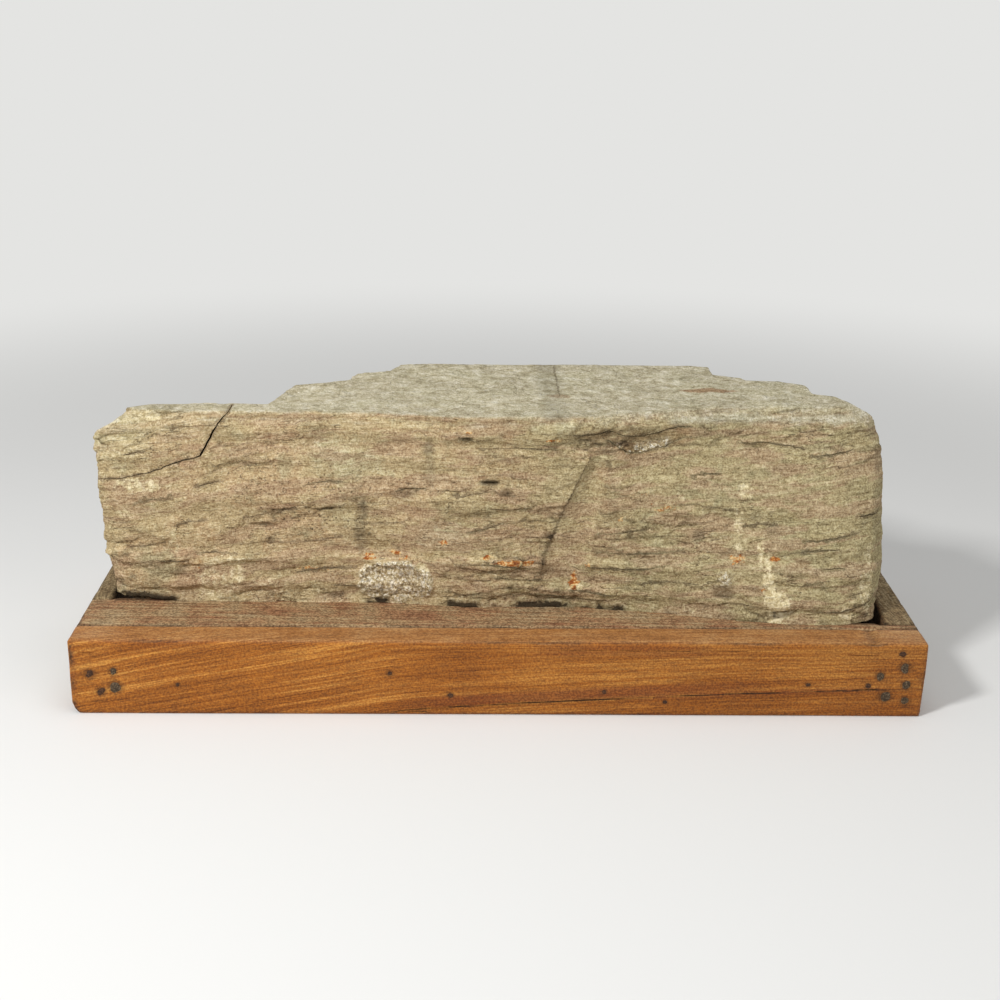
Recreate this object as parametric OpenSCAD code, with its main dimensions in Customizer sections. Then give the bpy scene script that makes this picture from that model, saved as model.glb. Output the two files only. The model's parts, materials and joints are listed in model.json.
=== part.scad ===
// A rough stone corbel block on the low timber frame that was made to carry it.
// The frame is open below: four boards and a packing strip, nailed together.
// Origin: centre of the frame's footprint, on the ground. +X along the block, +Z up,
// and the block's long split face looks towards -Y.

/* [Stone block] */
// Length of the stone's foot
stone_w = 843; // [620:1:1100]
// Depth of the stone's foot, from its foremost edge to its back
stone_d = 298; // [240:1:400]
// Height of the stone
stone_h = 216; // [150:1:300]
// How far the level top stands in from the foot at its left end
top_inset_left = 28; // [10:1:60]
// How far the level top stands in from the foot at its right end
top_inset_right = 42; // [10:1:80]
// How far the rough top dips below the full height
top_dip = 2.5; // [0.5:0.5:6]
// How far the top's back edge stands in from the foot's back edge
top_inset_back = 14; // [0:1:40]
// How far the left end leans out over its foot
left_overhang = 8; // [0:1:14]
// How far the right end leans in, below its broken shoulder
right_batter = 2; // [0:1:20]

/* [Stone front] */
// Distance from the frame's front to the stone's foot, towards the left end
margin_left = 106; // [96:1:130]
// The same distance at the middle
margin_middle = 94; // [84:1:120]
// The same distance towards the right end
margin_right = 49; // [46:1:80]
// How far the front leans back at the left
lean_left = 7; // [0:1:30]
// How far the front leans back at the right
lean_right = 98; // [20:1:110]
// Length of the foot's rounded left corner
corner_len_left = 70; // [20:1:90]
// How far the front falls back round that corner
corner_back_left = 24; // [8:1:40]
// Length of the foot's rounded right corner
corner_len_right = 60; // [20:1:90]
// How far the front falls back round that corner
corner_back_right = 55; // [8:1:70]

/* [Stone breaks] */
// Height of the broken-off upper left corner
break_left_h = 24; // [8:1:40]
// Height of the broken shoulder at the upper right
break_right_h = 62; // [20:1:90]
// Length of the thin arm at the left of the top
arm_left_w = 146; // [60:1:180]
// Depth of that arm's top
arm_left_d = 32; // [24:1:60]
// Depth of the top at its right end
arm_right_d = 50; // [24:1:80]
// Length of the top's back edge
back_edge_w = 348; // [200:1:420]
// How far the middle of that edge lies to the right of the stone's middle
back_edge_shift = 62; // [0:1:80]
// How far the broken back slopes out towards its foot, at the ends
back_slope = 92; // [40:1:100]

/* [Stone surface] */
// Number of layers that the stone splits into
layers = 15; // [8:1:20]
// Depth of the ledges between the layers
ledge = 3.2; // [0.5:0.1:5]
// Width of the open crack across the upper left corner
crack_w = 2.4; // [1:0.1:4]
// Depth of that crack
crack_d = 34; // [10:1:40]
// Depth of the worn slanting channel in the front
channel_d = 3.5; // [2:0.5:9]
// Half the width of that channel's upper end
channel_r_top = 9; // [6:1:18]
// Half the width of that channel's lower end
channel_r_foot = 26; // [12:1:34]

/* [Timber frame] */
// Height of the frame
frame_h = 85; // [60:1:120]
// Thickness of the front board
front_t = 39.5; // [25:0.5:44]
// Thickness of the back board
back_t = 40; // [25:1:50]
// Thickness of the left board
left_t = 23; // [16:1:40]
// Thickness of the right board at its back end
right_t = 29; // [16:1:40]
// Extra thickness of the right board at its front end
right_swell = 6; // [0:1:8]
// Length over which that extra thickness runs out
swell_len = 62; // [30:1:120]
// Gap between the stone and the left board
gap_left = 1.5; // [0.5:0.5:12]
// Gap between the stone and the right board
gap_right = 3.5; // [0.5:0.5:12]
// How far the stone's foot bears on the packing strip at the left
bearing_left = 6; // [3:0.5:20]
// The same bearing where the strip is narrowest, at the right
bearing_right = 2; // [1:0.5:10]
// How far the stone's foot bears on the back board
bearing_back = 10; // [4:1:25]

/* [Nails] */
// Diameter of the corner nails' heads
nail_head = 8; // [5:0.5:10]
// Diameter of their shanks
nail_shank = 3.6; // [2:0.2:4.6]
// Length of the corner nails that reach deep timber
nail_len = 68; // [50:1:74]
// Diameter of the small nails' heads
brad_head = 5; // [4:0.5:7]
// Diameter of their shanks
brad_shank = 2.2; // [1.4:0.2:3]
// How far the short nails reach past the front board
brad_reach = 6; // [3:0.5:7]
// Thickness of every nail's head
head_t = 2.4; // [1:0.2:4]
// How deep the heads are sunk below the face
head_sink = 0.8; // [0:0.1:2]
// Clearance round heads and shanks
nail_play = 0.05; // [0.02:0.01:0.2]

/* [Hidden] */
// The frame is built round the stone.
frame_w = left_t + gap_left + stone_w + gap_right + right_t;
foot_back = margin_right + stone_d;          // measured from the frame's front
back_y = foot_back - bearing_back;           // front face of the back board
frame_d = back_y + back_t;
foot_left = -frame_w / 2 + left_t + gap_left;
foot_right = foot_left + stone_w;
stone_mid = (foot_left + foot_right) / 2;
strip_left_y = margin_left + bearing_left;   // back edge of the packing strip
strip_right_y = margin_right + bearing_right;

// The strip narrows where the stone's face swings forward.
swing_from = 0.58;      // shares of the stone's length
swing_to = 0.92;
ease_from = 0.33;
ease_to = 0.48;

// Nail places: from the nearer end of the frame, and below its top.
left_nails = [[21, 39], [32, 59], [46, 36], [47, 54]];
right_nails = [[23, 32], [20, 48], [20, 66], [27, 12]];
right_short_nails = [[48, 38], [41, 61]];
back_nails = [[11.5, 25], [11.5, 60]];
// Small nails along the front: share of the frame's width from the left, and below its top.
brads = [[0.125, 51], [0.372, 37], [0.443, 62], [0.623, 57], [0.695, 69], [0.862, 48], [0.933, 49]];

nails = concat(
    [for (i = [0:len(left_nails) - 1])
        ["left_nail", i, -frame_w / 2 + left_nails[i][0], left_nails[i][1], nail_head, nail_shank, nail_len]],
    [for (i = [0:len(right_nails) - 1])
        ["right_nail", i, frame_w / 2 - right_nails[i][0], right_nails[i][1], nail_head, nail_shank, nail_len]],
    [for (i = [0:len(right_short_nails) - 1])
        ["right_short_nail", i, frame_w / 2 - right_short_nails[i][0], right_short_nails[i][1],
         nail_head, nail_shank, front_t + brad_reach]],
    [for (i = [0:len(brads) - 1])
        ["brad", i, (brads[i][0] - 0.5) * frame_w, brads[i][1], brad_head, brad_shank, front_t + brad_reach]]);
rear_nails = [for (side = [-1, 1], i = [0:len(back_nails) - 1])
    [side < 0 ? "back_left_nail" : "back_right_nail", i,
     side * (frame_w / 2 - back_nails[i][0]), back_nails[i][1], nail_head, nail_shank, nail_len]];

function nail_name(n) = str(n[0], "_", n[1] + 1);

function mix(a, b, t) = a + (b - a) * t;
function clamp(t) = min(1, max(0, t));
function ease(a, b, x) = let (t = clamp((x - a) / (b - a))) t * t * (3 - 2 * t);

// How far a face falls back round a corner, d along from the corner's end.
function corner(d, len, back) = d >= len ? 0 : back * (1 - sqrt(1 - pow((len - d) / len, 2)));

// ---- the stone's outline at each height; u runs along the front, t up the height, both 0 to 1 ----

break_left_t = 1 - break_left_h / stone_h;
break_right_t = 1 - break_right_h / stone_h;

// The left end leans out, then breaks off in a ledge and a slope.
function left_x(t) = t < break_left_t
    ? foot_left - left_overhang * sin(90 * t / break_left_t)
    : mix(foot_left - left_overhang, foot_left + top_inset_left,
          pow(clamp((t - break_left_t) / (1 - break_left_t)), 0.6));

// The right end leans in a little, then its shoulder rounds over.
function right_x(t) = t < break_right_t
    ? foot_right - right_batter * t / break_right_t
    : mix(foot_right - right_batter, foot_right - top_inset_right,
          1 - sqrt(1 - pow((t - break_right_t) / (1 - break_right_t), 2) * 0.98));

function foot_front(u) = mix(mix(margin_left, margin_middle, ease(ease_from, ease_to, u)),
                             margin_right, ease(swing_from, swing_to, u));
function front_lean(u, t) = mix(lean_left, lean_right, ease(swing_from, swing_to - 0.04, u)) * pow(t, 1.35);
function front_y(u, t) = foot_front(u) + front_lean(u, t)
    + corner(u * stone_w, corner_len_left, mix(corner_back_left, 2, t))
    + corner((1 - u) * stone_w, corner_len_right, mix(corner_back_right, 10, t));

// The top's back edge and the two arms beside it.
top_back_y = foot_back - top_inset_back;
edge_left = stone_mid + back_edge_shift - back_edge_w / 2;
edge_right = stone_mid + back_edge_shift + back_edge_w / 2;
arm_left_x = foot_left + top_inset_left + arm_left_w;
arm_left_y = front_y(top_inset_left / stone_w, 1) + arm_left_d;
arm_right_x = foot_right - top_inset_right;
arm_right_y = margin_right + lean_right + arm_right_d;

// Corners of the steps between an arm and the back edge: shares of the way along, and back.
left_steps = [[0, 0], [0.14, 0.45], [0.6, 0.54], [0.64, 0.73], [0.92, 0.76], [1, 0.95]];
right_steps = [[0.02, 0], [0.17, 0.07], [0.18, 0.31], [0.38, 0.45], [0.62, 0.5], [0.64, 0.6], [0.86, 0.68], [0.87, 0.92]];

// The back's corners on the level top, from its right end round to its left end.
top_back = concat(
    [[arm_right_x, arm_right_y - 16]],
    [for (s = right_steps) [mix(arm_right_x, edge_right, s[0]), mix(arm_right_y, top_back_y, s[1])]],
    [for (i = [0:3]) [mix(edge_right, edge_left + 40, i / 3), top_back_y]],
    [for (i = [len(left_steps) - 1:-1:0])
        [mix(arm_left_x, edge_left, left_steps[i][0]), mix(arm_left_y, top_back_y, left_steps[i][1])]],
    [[arm_left_x - arm_left_w * 0.55, arm_left_y + 5], [foot_left + top_inset_left + 24, arm_left_y - 9],
     [foot_left + top_inset_left, arm_left_y - arm_left_d + 7]]);

// Lower down, each corner lies further out, most of all at the two ends.
function slope_at(y) = mix(back_slope, top_inset_back, clamp((y - arm_left_y) / (top_back_y - arm_left_y)));
function back_point(p, t) = let (
        side = (p[0] - stone_mid) / (stone_w / 2),
        x = p[0] + side * 0.35 * slope_at(p[1]) * (1 - t),
        y = min(foot_back - 2 * abs(side), p[1] + slope_at(p[1]) * (1 - pow(t, 1.2))))
    [max(left_x(t), min(right_x(t), x)), y];

// Uneven heights of the layers, each with a lower and an upper outline, which makes the ledges.
layer_cut = [for (k = [0:layers]) let (wander = rands(-0.3, 0.3, layers + 1, 11)[k])
    clamp((k + (k == 0 || k == layers ? 0 : wander)) / layers)];
layer_out = rands(-ledge, ledge, layers, 5);
lip = 0.006;

front_n = 34;
front_u = [for (i = [0:front_n]) mix(i / front_n, (1 - cos(180 * i / front_n)) / 2, 0.45)];
front_chips = [for (k = [0:layers - 1]) rands(-ledge * 0.6, ledge * 0.6, front_n + 1, 40 + k)];
back_chips = [for (k = [0:layers - 1]) rands(-ledge, ledge, len(top_back), 80 + k)];

function outline(t, k) = let (rough = ease(0, 0.04, t) * ease(0, 0.02, 1 - t)) concat(
    [for (i = [0:front_n]) let (u = front_u[i])
        [mix(left_x(t), right_x(t), u), front_y(u, t) - (layer_out[k] + front_chips[k][i]) * rough]],
    [for (i = [0:len(top_back) - 1]) let (p = back_point(top_back[i], t), r = back_chips[k][i] * rough)
        [p[0], p[1] + r]]);

ring_n = front_n + 1 + len(top_back);
top_dips = rands(0, top_dip, ring_n, 3);

rings = [for (k = [0:layers - 1], up = [0, 1])
    let (t = up == 0 ? layer_cut[k] + (k == 0 ? 0 : lip) : layer_cut[k + 1] - (k == layers - 1 ? 0 : lip),
         line = outline(t, k))
    [for (i = [0:ring_n - 1]) [line[i][0], line[i][1], t * stone_h - (t == 1 ? top_dips[i] : 0)]]];

// Triangles of the top, in a strip between its front points i and its back points j, from the left.
function top_strip(ring, i = 0, j = ring_n - 1) =
    i == front_n && j == front_n + 1 ? []
    : j == front_n + 1 || (i < front_n && ring[i + 1][0] < ring[j - 1][0])
        ? concat([[i, j, i + 1]], top_strip(ring, i + 1, j))
        : concat([[i, j, j - 1]], top_strip(ring, i, j - 1));

module loft(rings) {
    n = ring_n;
    m = len(rings);
    sides = [for (k = [0:m - 2], i = [0:n - 1], half = [0, 1]) let (j = (i + 1) % n)
        half == 0 ? [k * n + i, (k + 1) * n + i, (k + 1) * n + j] : [k * n + i, (k + 1) * n + j, k * n + j]];
    foot = [[for (i = [0:n - 1]) i]];
    top = [for (f = top_strip(rings[m - 1])) [for (i = f) (m - 1) * n + i]];
    polyhedron([for (r = rings, p = r) p], concat(foot, sides, top));
}

// The crack's course over the face: from the left end, and below the top.
crack_line = [[-20, 79], [22, 75], [57, 66], [85, 54], [104, 50], [117, 25], [129, 8], [146, -8]];

module crack() {
    for (i = [0:len(crack_line) - 2]) {
        a = crack_line[i];
        b = crack_line[i + 1];
        translate([foot_left + a[0], margin_left - 20, stone_h - a[1]])
            rotate([0, -atan2(a[1] - b[1], b[0] - a[0]), 0])
                translate([-crack_w / 2, 0, -crack_w / 2])
                    cube([norm(b - a) + crack_w, crack_d + 20, crack_w]);
    }
}

// The channel's middle line: from the left end, and below the top.
channel_top = [532, 48];
channel_foot = [497, 186];

// A point on the channel's middle line, r in front of its floor.
function channel_point(p, r) = let (u = p[0] / stone_w, t = 1 - p[1] / stone_h)
    [foot_left + p[0], front_y(u, t) - r + channel_d, stone_h - p[1]];

// The channel is where a long slanting cone dips into the face.
module channel() {
    bulge = 1.3;    // the cone's radius against half the channel's width
    r_foot = channel_r_foot * bulge;
    r_top = channel_r_top * bulge;
    from = channel_point(channel_foot, r_foot);
    along = channel_point(channel_top, r_top) - from;
    translate(from) rotate([0, acos(along[2] / norm(along)), atan2(along[1], along[0])])
        cylinder(h = norm(along), r1 = r_foot, r2 = r_top, $fn = 48);
}

module stone() {
    color("#9a8e76") translate([0, -frame_d / 2, frame_h]) difference() {
        loft(rings);
        crack();
        channel();
    }
}

// ---- the timber frame ----

module timber(points) {
    translate([0, -frame_d / 2, 0]) linear_extrude(frame_h) polygon(points);
}

// A nail lies along +Y with the face that it is driven into at Y = 0.
module nail_shape(n, play) {
    translate([n[2], 0, frame_h - n[3]]) rotate([-90, 0, 0]) {
        translate([0, 0, play > 0 ? -1 : head_sink])
            cylinder(h = play > 0 ? head_sink + head_t + 1 : head_t, d = n[4] + 2 * play, $fn = 32);
        translate([0, 0, head_sink + head_t / 2])
            cylinder(h = n[6] - head_sink - head_t / 2 + play, d = n[5] + 2 * play, $fn = 24);
    }
}

module front_nail(n, play = 0) translate([0, -frame_d / 2, 0]) nail_shape(n, play);
module rear_nail(n, play = 0) translate([0, frame_d / 2, 0]) mirror([0, 1, 0]) nail_shape(n, play);

module front_nail_holes() for (n = nails) front_nail(n, nail_play);
module rear_nail_holes() for (n = rear_nails) rear_nail(n, nail_play);

module front_board() {
    color("#a8652c") difference() {
        timber([[-frame_w / 2, 0], [frame_w / 2, 0], [frame_w / 2, front_t], [-frame_w / 2, front_t]]);
        front_nail_holes();
    }
}

// The strip follows the swing of the stone's foot, so that the foot always bears on it.
module packing_strip() {
    swing_x = [foot_left + swing_from * stone_w, foot_left + swing_to * stone_w];
    color("#8c6c4e") difference() {
        timber([[-frame_w / 2, front_t], [frame_w / 2, front_t], [frame_w / 2, strip_right_y],
                [swing_x[1], strip_right_y], [swing_x[0], strip_left_y], [-frame_w / 2, strip_left_y]]);
        front_nail_holes();
    }
}

module left_board() {
    color("#8f6e50") difference() {
        timber([[-frame_w / 2, strip_left_y], [-frame_w / 2 + left_t, strip_left_y],
                [-frame_w / 2 + left_t, back_y], [-frame_w / 2, back_y]]);
        rear_nail_holes();
    }
}

module right_board() {
    color("#8f6e50") difference() {
        timber([[frame_w / 2 - right_t - right_swell, strip_right_y], [frame_w / 2, strip_right_y],
                [frame_w / 2, back_y], [frame_w / 2 - right_t, back_y],
                [frame_w / 2 - right_t, strip_right_y + swell_len]]);
        front_nail_holes();
        rear_nail_holes();
    }
}

module back_board() {
    color("#9b6a3c") difference() {
        timber([[-frame_w / 2, back_y], [frame_w / 2, back_y], [frame_w / 2, frame_d], [-frame_w / 2, frame_d]]);
        rear_nail_holes();
    }
}

stone();
front_board();
packing_strip();
left_board();
right_board();
back_board();
for (n = nails) color("#4b3a2f") front_nail(n);
for (n = rear_nails) color("#4b3a2f") rear_nail(n);
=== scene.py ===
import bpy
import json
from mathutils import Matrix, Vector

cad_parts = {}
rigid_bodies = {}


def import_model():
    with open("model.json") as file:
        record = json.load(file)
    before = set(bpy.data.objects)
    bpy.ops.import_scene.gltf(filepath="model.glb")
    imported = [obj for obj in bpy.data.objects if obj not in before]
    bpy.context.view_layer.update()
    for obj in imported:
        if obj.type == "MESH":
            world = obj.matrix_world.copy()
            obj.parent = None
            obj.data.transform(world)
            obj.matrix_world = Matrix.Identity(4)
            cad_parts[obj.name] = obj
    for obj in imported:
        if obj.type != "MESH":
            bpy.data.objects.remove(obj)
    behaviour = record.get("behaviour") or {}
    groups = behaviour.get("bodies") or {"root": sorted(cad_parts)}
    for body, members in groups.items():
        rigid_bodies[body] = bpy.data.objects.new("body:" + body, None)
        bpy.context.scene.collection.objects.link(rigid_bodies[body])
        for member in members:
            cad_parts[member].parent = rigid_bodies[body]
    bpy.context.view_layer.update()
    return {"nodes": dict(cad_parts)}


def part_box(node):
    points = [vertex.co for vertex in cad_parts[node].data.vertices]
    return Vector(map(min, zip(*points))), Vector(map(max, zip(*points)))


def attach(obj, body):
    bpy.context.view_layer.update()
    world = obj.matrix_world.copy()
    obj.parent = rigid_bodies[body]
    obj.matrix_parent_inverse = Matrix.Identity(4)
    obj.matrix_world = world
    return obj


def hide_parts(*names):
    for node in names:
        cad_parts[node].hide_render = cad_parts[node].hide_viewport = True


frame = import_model()

import json
import math
import bpy
import numpy as np
from mathutils import Matrix, Vector

# A rough block of bedded buff stone on a low nailed timber frame.
# Everything is in metres, in the frame's own axes: the long split face looks towards -Y.
mm = 0.001
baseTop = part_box("front_board")[1][2]       # the boards' tops carry the stone
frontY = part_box("front_board")[0][1]


def toLinear(hexColour):
    parts = [int(hexColour[i:i + 2], 16) / 255 for i in (1, 3, 5)]
    return tuple(c / 12.92 if c < 0.04045 else ((c + 0.055) / 1.055) ** 2.4 for c in parts) + (1.0,)


def addNode(tree, kind, inputs={}, stops=(), **settings):
    node = tree.nodes.new(kind)
    for key, value in settings.items():
        setattr(node, key, value)
    for key, value in inputs.items():
        if isinstance(value, bpy.types.Node):       # a node stands for its first output
            value = value.outputs[0]
        if isinstance(value, bpy.types.NodeSocket):
            tree.links.new(value, node.inputs[key])
        else:
            node.inputs[key].default_value = value
    for i, (place, value) in enumerate(stops):      # a colour ramp's stops
        if i >= len(node.color_ramp.elements):
            node.color_ramp.elements.new(1.0)
        node.color_ramp.elements[i].position = place
        node.color_ramp.elements[i].color = toLinear(value) if isinstance(value, str) else (value,) * 3 + (1,)
    return node


def deselectAll():
    for item in bpy.context.selected_objects:
        item.select_set(False)


def makeActive(piece):
    deselectAll()
    piece.select_set(True)
    bpy.context.view_layer.objects.active = piece


def applyModifier(piece, kind, **settings):
    makeActive(piece)
    bpy.ops.object.modifier_add(type=kind)
    modifier = piece.modifiers[-1]
    for key, value in settings.items():
        setattr(modifier, key, value)
    bpy.ops.object.modifier_apply(modifier=modifier.name)


def getPoints(piece):
    points = np.empty(len(piece.data.vertices) * 3)
    piece.data.vertices.foreach_get("co", points)
    return points.reshape(-1, 3)


def getNormals(piece):
    normals = np.empty(len(piece.data.vertices) * 3, dtype=np.float32)
    piece.data.vertices.foreach_get("normal", normals)
    return normals.reshape(-1, 3).astype(float)


def setPoints(piece, points):
    piece.data.vertices.foreach_set("co", points.ravel())
    piece.data.update()


def setMask(piece, name, values):
    mask = piece.data.attributes.new(name, "FLOAT", "POINT")
    mask.data.foreach_set("value", np.clip(values, 0, 1).astype(np.float32))


def setCourse(piece, name, points):
    course = piece.data.attributes.new(name, "FLOAT_VECTOR", "POINT")
    course.data.foreach_set("vector", points.astype(np.float32).ravel())


def ease(low, high, values):
    t = np.clip((values - low) / (high - low), 0, 1)
    return t * t * (3 - 2 * t)


# Noise for carving, the same on every run.

def scramble(ix, iy, iz, seed):
    n = (ix * 73856093) ^ (iy * 19349663) ^ (iz * 83492791) ^ (seed * 40503551)
    n = (n ^ (n >> 13)) & 0xffffffff
    n = (n * 1274126177) & 0xffffffff
    n = (n ^ (n >> 15)) * 668265263 & 0xffffffff
    return ((n ^ (n >> 14)) & 0xffff) / 32767.5 - 1


def cloud(points, size, seed):
    p = points / size
    whole = np.floor(p).astype(np.int64)
    f = p - whole
    f = f * f * (3 - 2 * f)
    total = 0
    for dx in (0, 1):
        wx = f[:, 0] if dx else 1 - f[:, 0]
        for dy in (0, 1):
            wy = f[:, 1] if dy else 1 - f[:, 1]
            for dz in (0, 1):
                wz = f[:, 2] if dz else 1 - f[:, 2]
                total = total + wx * wy * wz * scramble(
                    whole[:, 0] + dx, whole[:, 1] + dy, whole[:, 2] + dz, seed)
    return total


def fractal(points, size, seed, octaves=3):
    size = np.array(size, dtype=float)
    total = 0
    for level in range(octaves):
        total = total + cloud(points, size / 2 ** level, seed + level) / 2 ** level
    return total / 1.6


def flakes(points, size, seed):
    # Nearest and second nearest of scattered centres: the distance between them, the nearest
    # one's own random value, and how far above it the point lies.
    p = points / np.array(size, dtype=float)
    whole = np.floor(p).astype(np.int64)
    first = np.full(len(p), 9.0)
    second = np.full(len(p), 9.0)
    value = np.zeros(len(p))
    above = np.zeros(len(p))
    for dx in (-1, 0, 1):
        for dy in (-1, 0, 1):
            for dz in (-1, 0, 1):
                cx, cy, cz = whole[:, 0] + dx, whole[:, 1] + dy, whole[:, 2] + dz
                own = scramble(cx, cy, cz, seed)
                ox = cx + 0.5 + 0.45 * own - p[:, 0]
                oy = cy + 0.5 + 0.45 * scramble(cx, cy, cz, seed + 1) - p[:, 1]
                oz = cz + 0.5 + 0.45 * scramble(cx, cy, cz, seed + 2) - p[:, 2]
                far = np.sqrt(ox * ox + oy * oy + oz * oz)
                nearer = far < first
                second = np.where(nearer, first, np.minimum(second, far))
                value = np.where(nearer, scramble(cz, cx, cy, seed + 3), value)
                above = np.where(nearer, -oz, above)
                first = np.where(nearer, far, first)
    return second - first, value, above


view = dict(
    distance=1.520,         # camera to the frame's front face, along Y
    height=0.764,           # above the ground
    aside=-0.030,           # along X
    turn=1.06,              # degrees towards +X
    tilt=18.97,             # degrees downwards
    roll=0.71,
    lens=57.30,
)


def makeCamera():
    camera = bpy.data.objects.new("camera", bpy.data.cameras.new("camera"))
    bpy.context.scene.collection.objects.link(camera)
    camera.data.lens = view["lens"]
    camera.data.sensor_width = 36
    turned = (Matrix.Rotation(-math.radians(view["turn"]), 4, "Z")
              @ Matrix.Rotation(math.radians(90 - view["tilt"]), 4, "X")
              @ Matrix.Rotation(math.radians(view["roll"]), 4, "Z"))
    place = Vector((view["aside"], frontY - view["distance"], view["height"]))
    camera.matrix_world = Matrix.Translation(place) @ turned
    bpy.context.scene.camera = camera
    print("camera set")


studio = dict(
    floorColour="#e4e4e2",
    floorSize=60.0,
    floorFades=(0.8, 2.2),      # metres from the middle, where the floor turns into the backdrop
    keyPower=54, keyPlace=(-1.5, -1.5, 1.95), keySize=0.4,
    fillPower=18, fillPlace=(2.0, -2.0, 1.1), fillSize=2.2,
    topPower=15, topPlace=(0.3, -0.35, 2.5), topSize=1.6,
    worldColour="#dcdcdc", worldStrength=0.42,
)


def addLamp(name, power, place, size):
    lamp = bpy.data.objects.new(name, bpy.data.lights.new(name, "AREA"))
    lamp.data.energy = power
    lamp.data.size = size
    lamp.location = place
    aim = Vector((0, 0, 0.12)) - Vector(place)
    lamp.rotation_euler = aim.to_track_quat("-Z", "Y").to_euler()
    bpy.context.scene.collection.objects.link(lamp)


def seenPlainly(tree):
    rays = addNode(tree, "ShaderNodeLightPath").outputs
    first = addNode(tree, "ShaderNodeMath", {0: rays["Is Camera Ray"], 1: rays["Is Glossy Ray"]},
                    operation="MAXIMUM")
    return addNode(tree, "ShaderNodeMath", {0: first.outputs[0], 1: rays["Is Transmission Ray"]},
                   operation="MAXIMUM").outputs[0]


def makeStudio():
    bpy.context.scene.view_settings.view_transform = "Standard"
    deselectAll()
    bpy.ops.mesh.primitive_plane_add(size=studio["floorSize"], location=(0, 0, 0))
    floor = bpy.context.object
    floor.name = "floor"
    paper = bpy.data.materials.new("matt studio paper")
    paper.use_nodes = True
    tree = paper.node_tree
    shader = tree.nodes["Principled BSDF"]
    shader.inputs["Base Color"].default_value = toLinear(studio["floorColour"])
    shader.inputs["Roughness"].default_value = 0.9
    shader.inputs["Specular IOR Level"].default_value = 0.1
    place = addNode(tree, "ShaderNodeTexCoord").outputs["Object"]
    far = addNode(tree, "ShaderNodeVectorMath", {0: place}, operation="LENGTH").outputs["Value"]
    fade = addNode(tree, "ShaderNodeMapRange", {"Value": far, "From Min": studio["floorFades"][0],
                                                "From Max": studio["floorFades"][1]},
                   interpolation_type="SMOOTHSTEP").outputs[0]
    share = addNode(tree, "ShaderNodeMath", {0: fade, 1: seenPlainly(tree)}, operation="MULTIPLY").outputs[0]
    glow = addNode(tree, "ShaderNodeEmission", {"Color": toLinear(studio["floorColour"]), "Strength": 1.0})
    both = addNode(tree, "ShaderNodeMixShader", {0: share, 1: shader.outputs[0], 2: glow.outputs[0]})
    tree.links.new(both.outputs[0], tree.nodes["Material Output"].inputs["Surface"])
    floor.data.materials.append(paper)

    addLamp("key", studio["keyPower"], studio["keyPlace"], studio["keySize"])
    addLamp("fill", studio["fillPower"], studio["fillPlace"], studio["fillSize"])
    addLamp("top", studio["topPower"], studio["topPlace"], studio["topSize"])

    world = bpy.data.worlds.new("room")
    world.use_nodes = True
    bpy.context.scene.world = world
    tree = world.node_tree
    tree.nodes.clear()
    ambient = addNode(tree, "ShaderNodeBackground", {
        "Color": toLinear(studio["worldColour"]), "Strength": studio["worldStrength"]})
    backdrop = addNode(tree, "ShaderNodeBackground", {
        "Color": toLinear(studio["floorColour"]), "Strength": 1.0})
    both = addNode(tree, "ShaderNodeMixShader", {
        0: seenPlainly(tree), 1: ambient.outputs[0], 2: backdrop.outputs[0]})
    addNode(tree, "ShaderNodeOutputWorld", {"Surface": both.outputs[0]})
    print("floor and lamps set")


stoneLook = dict(
    voxel=1.9 * mm,
    triangles=160000,
    flakeDepth=2.6 * mm,        # thickness of the spalled flakes
    ledgeDepth=1.7 * mm,        # overhang of each flake's lower lip
    bedDepth=0.45 * mm,         # relief of the finest beds
    lumpDepth=2.4 * mm,         # slow swelling of the faces
    channelDepth=2.6 * mm,
    crackWidth=2.6 * mm,
)

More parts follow.
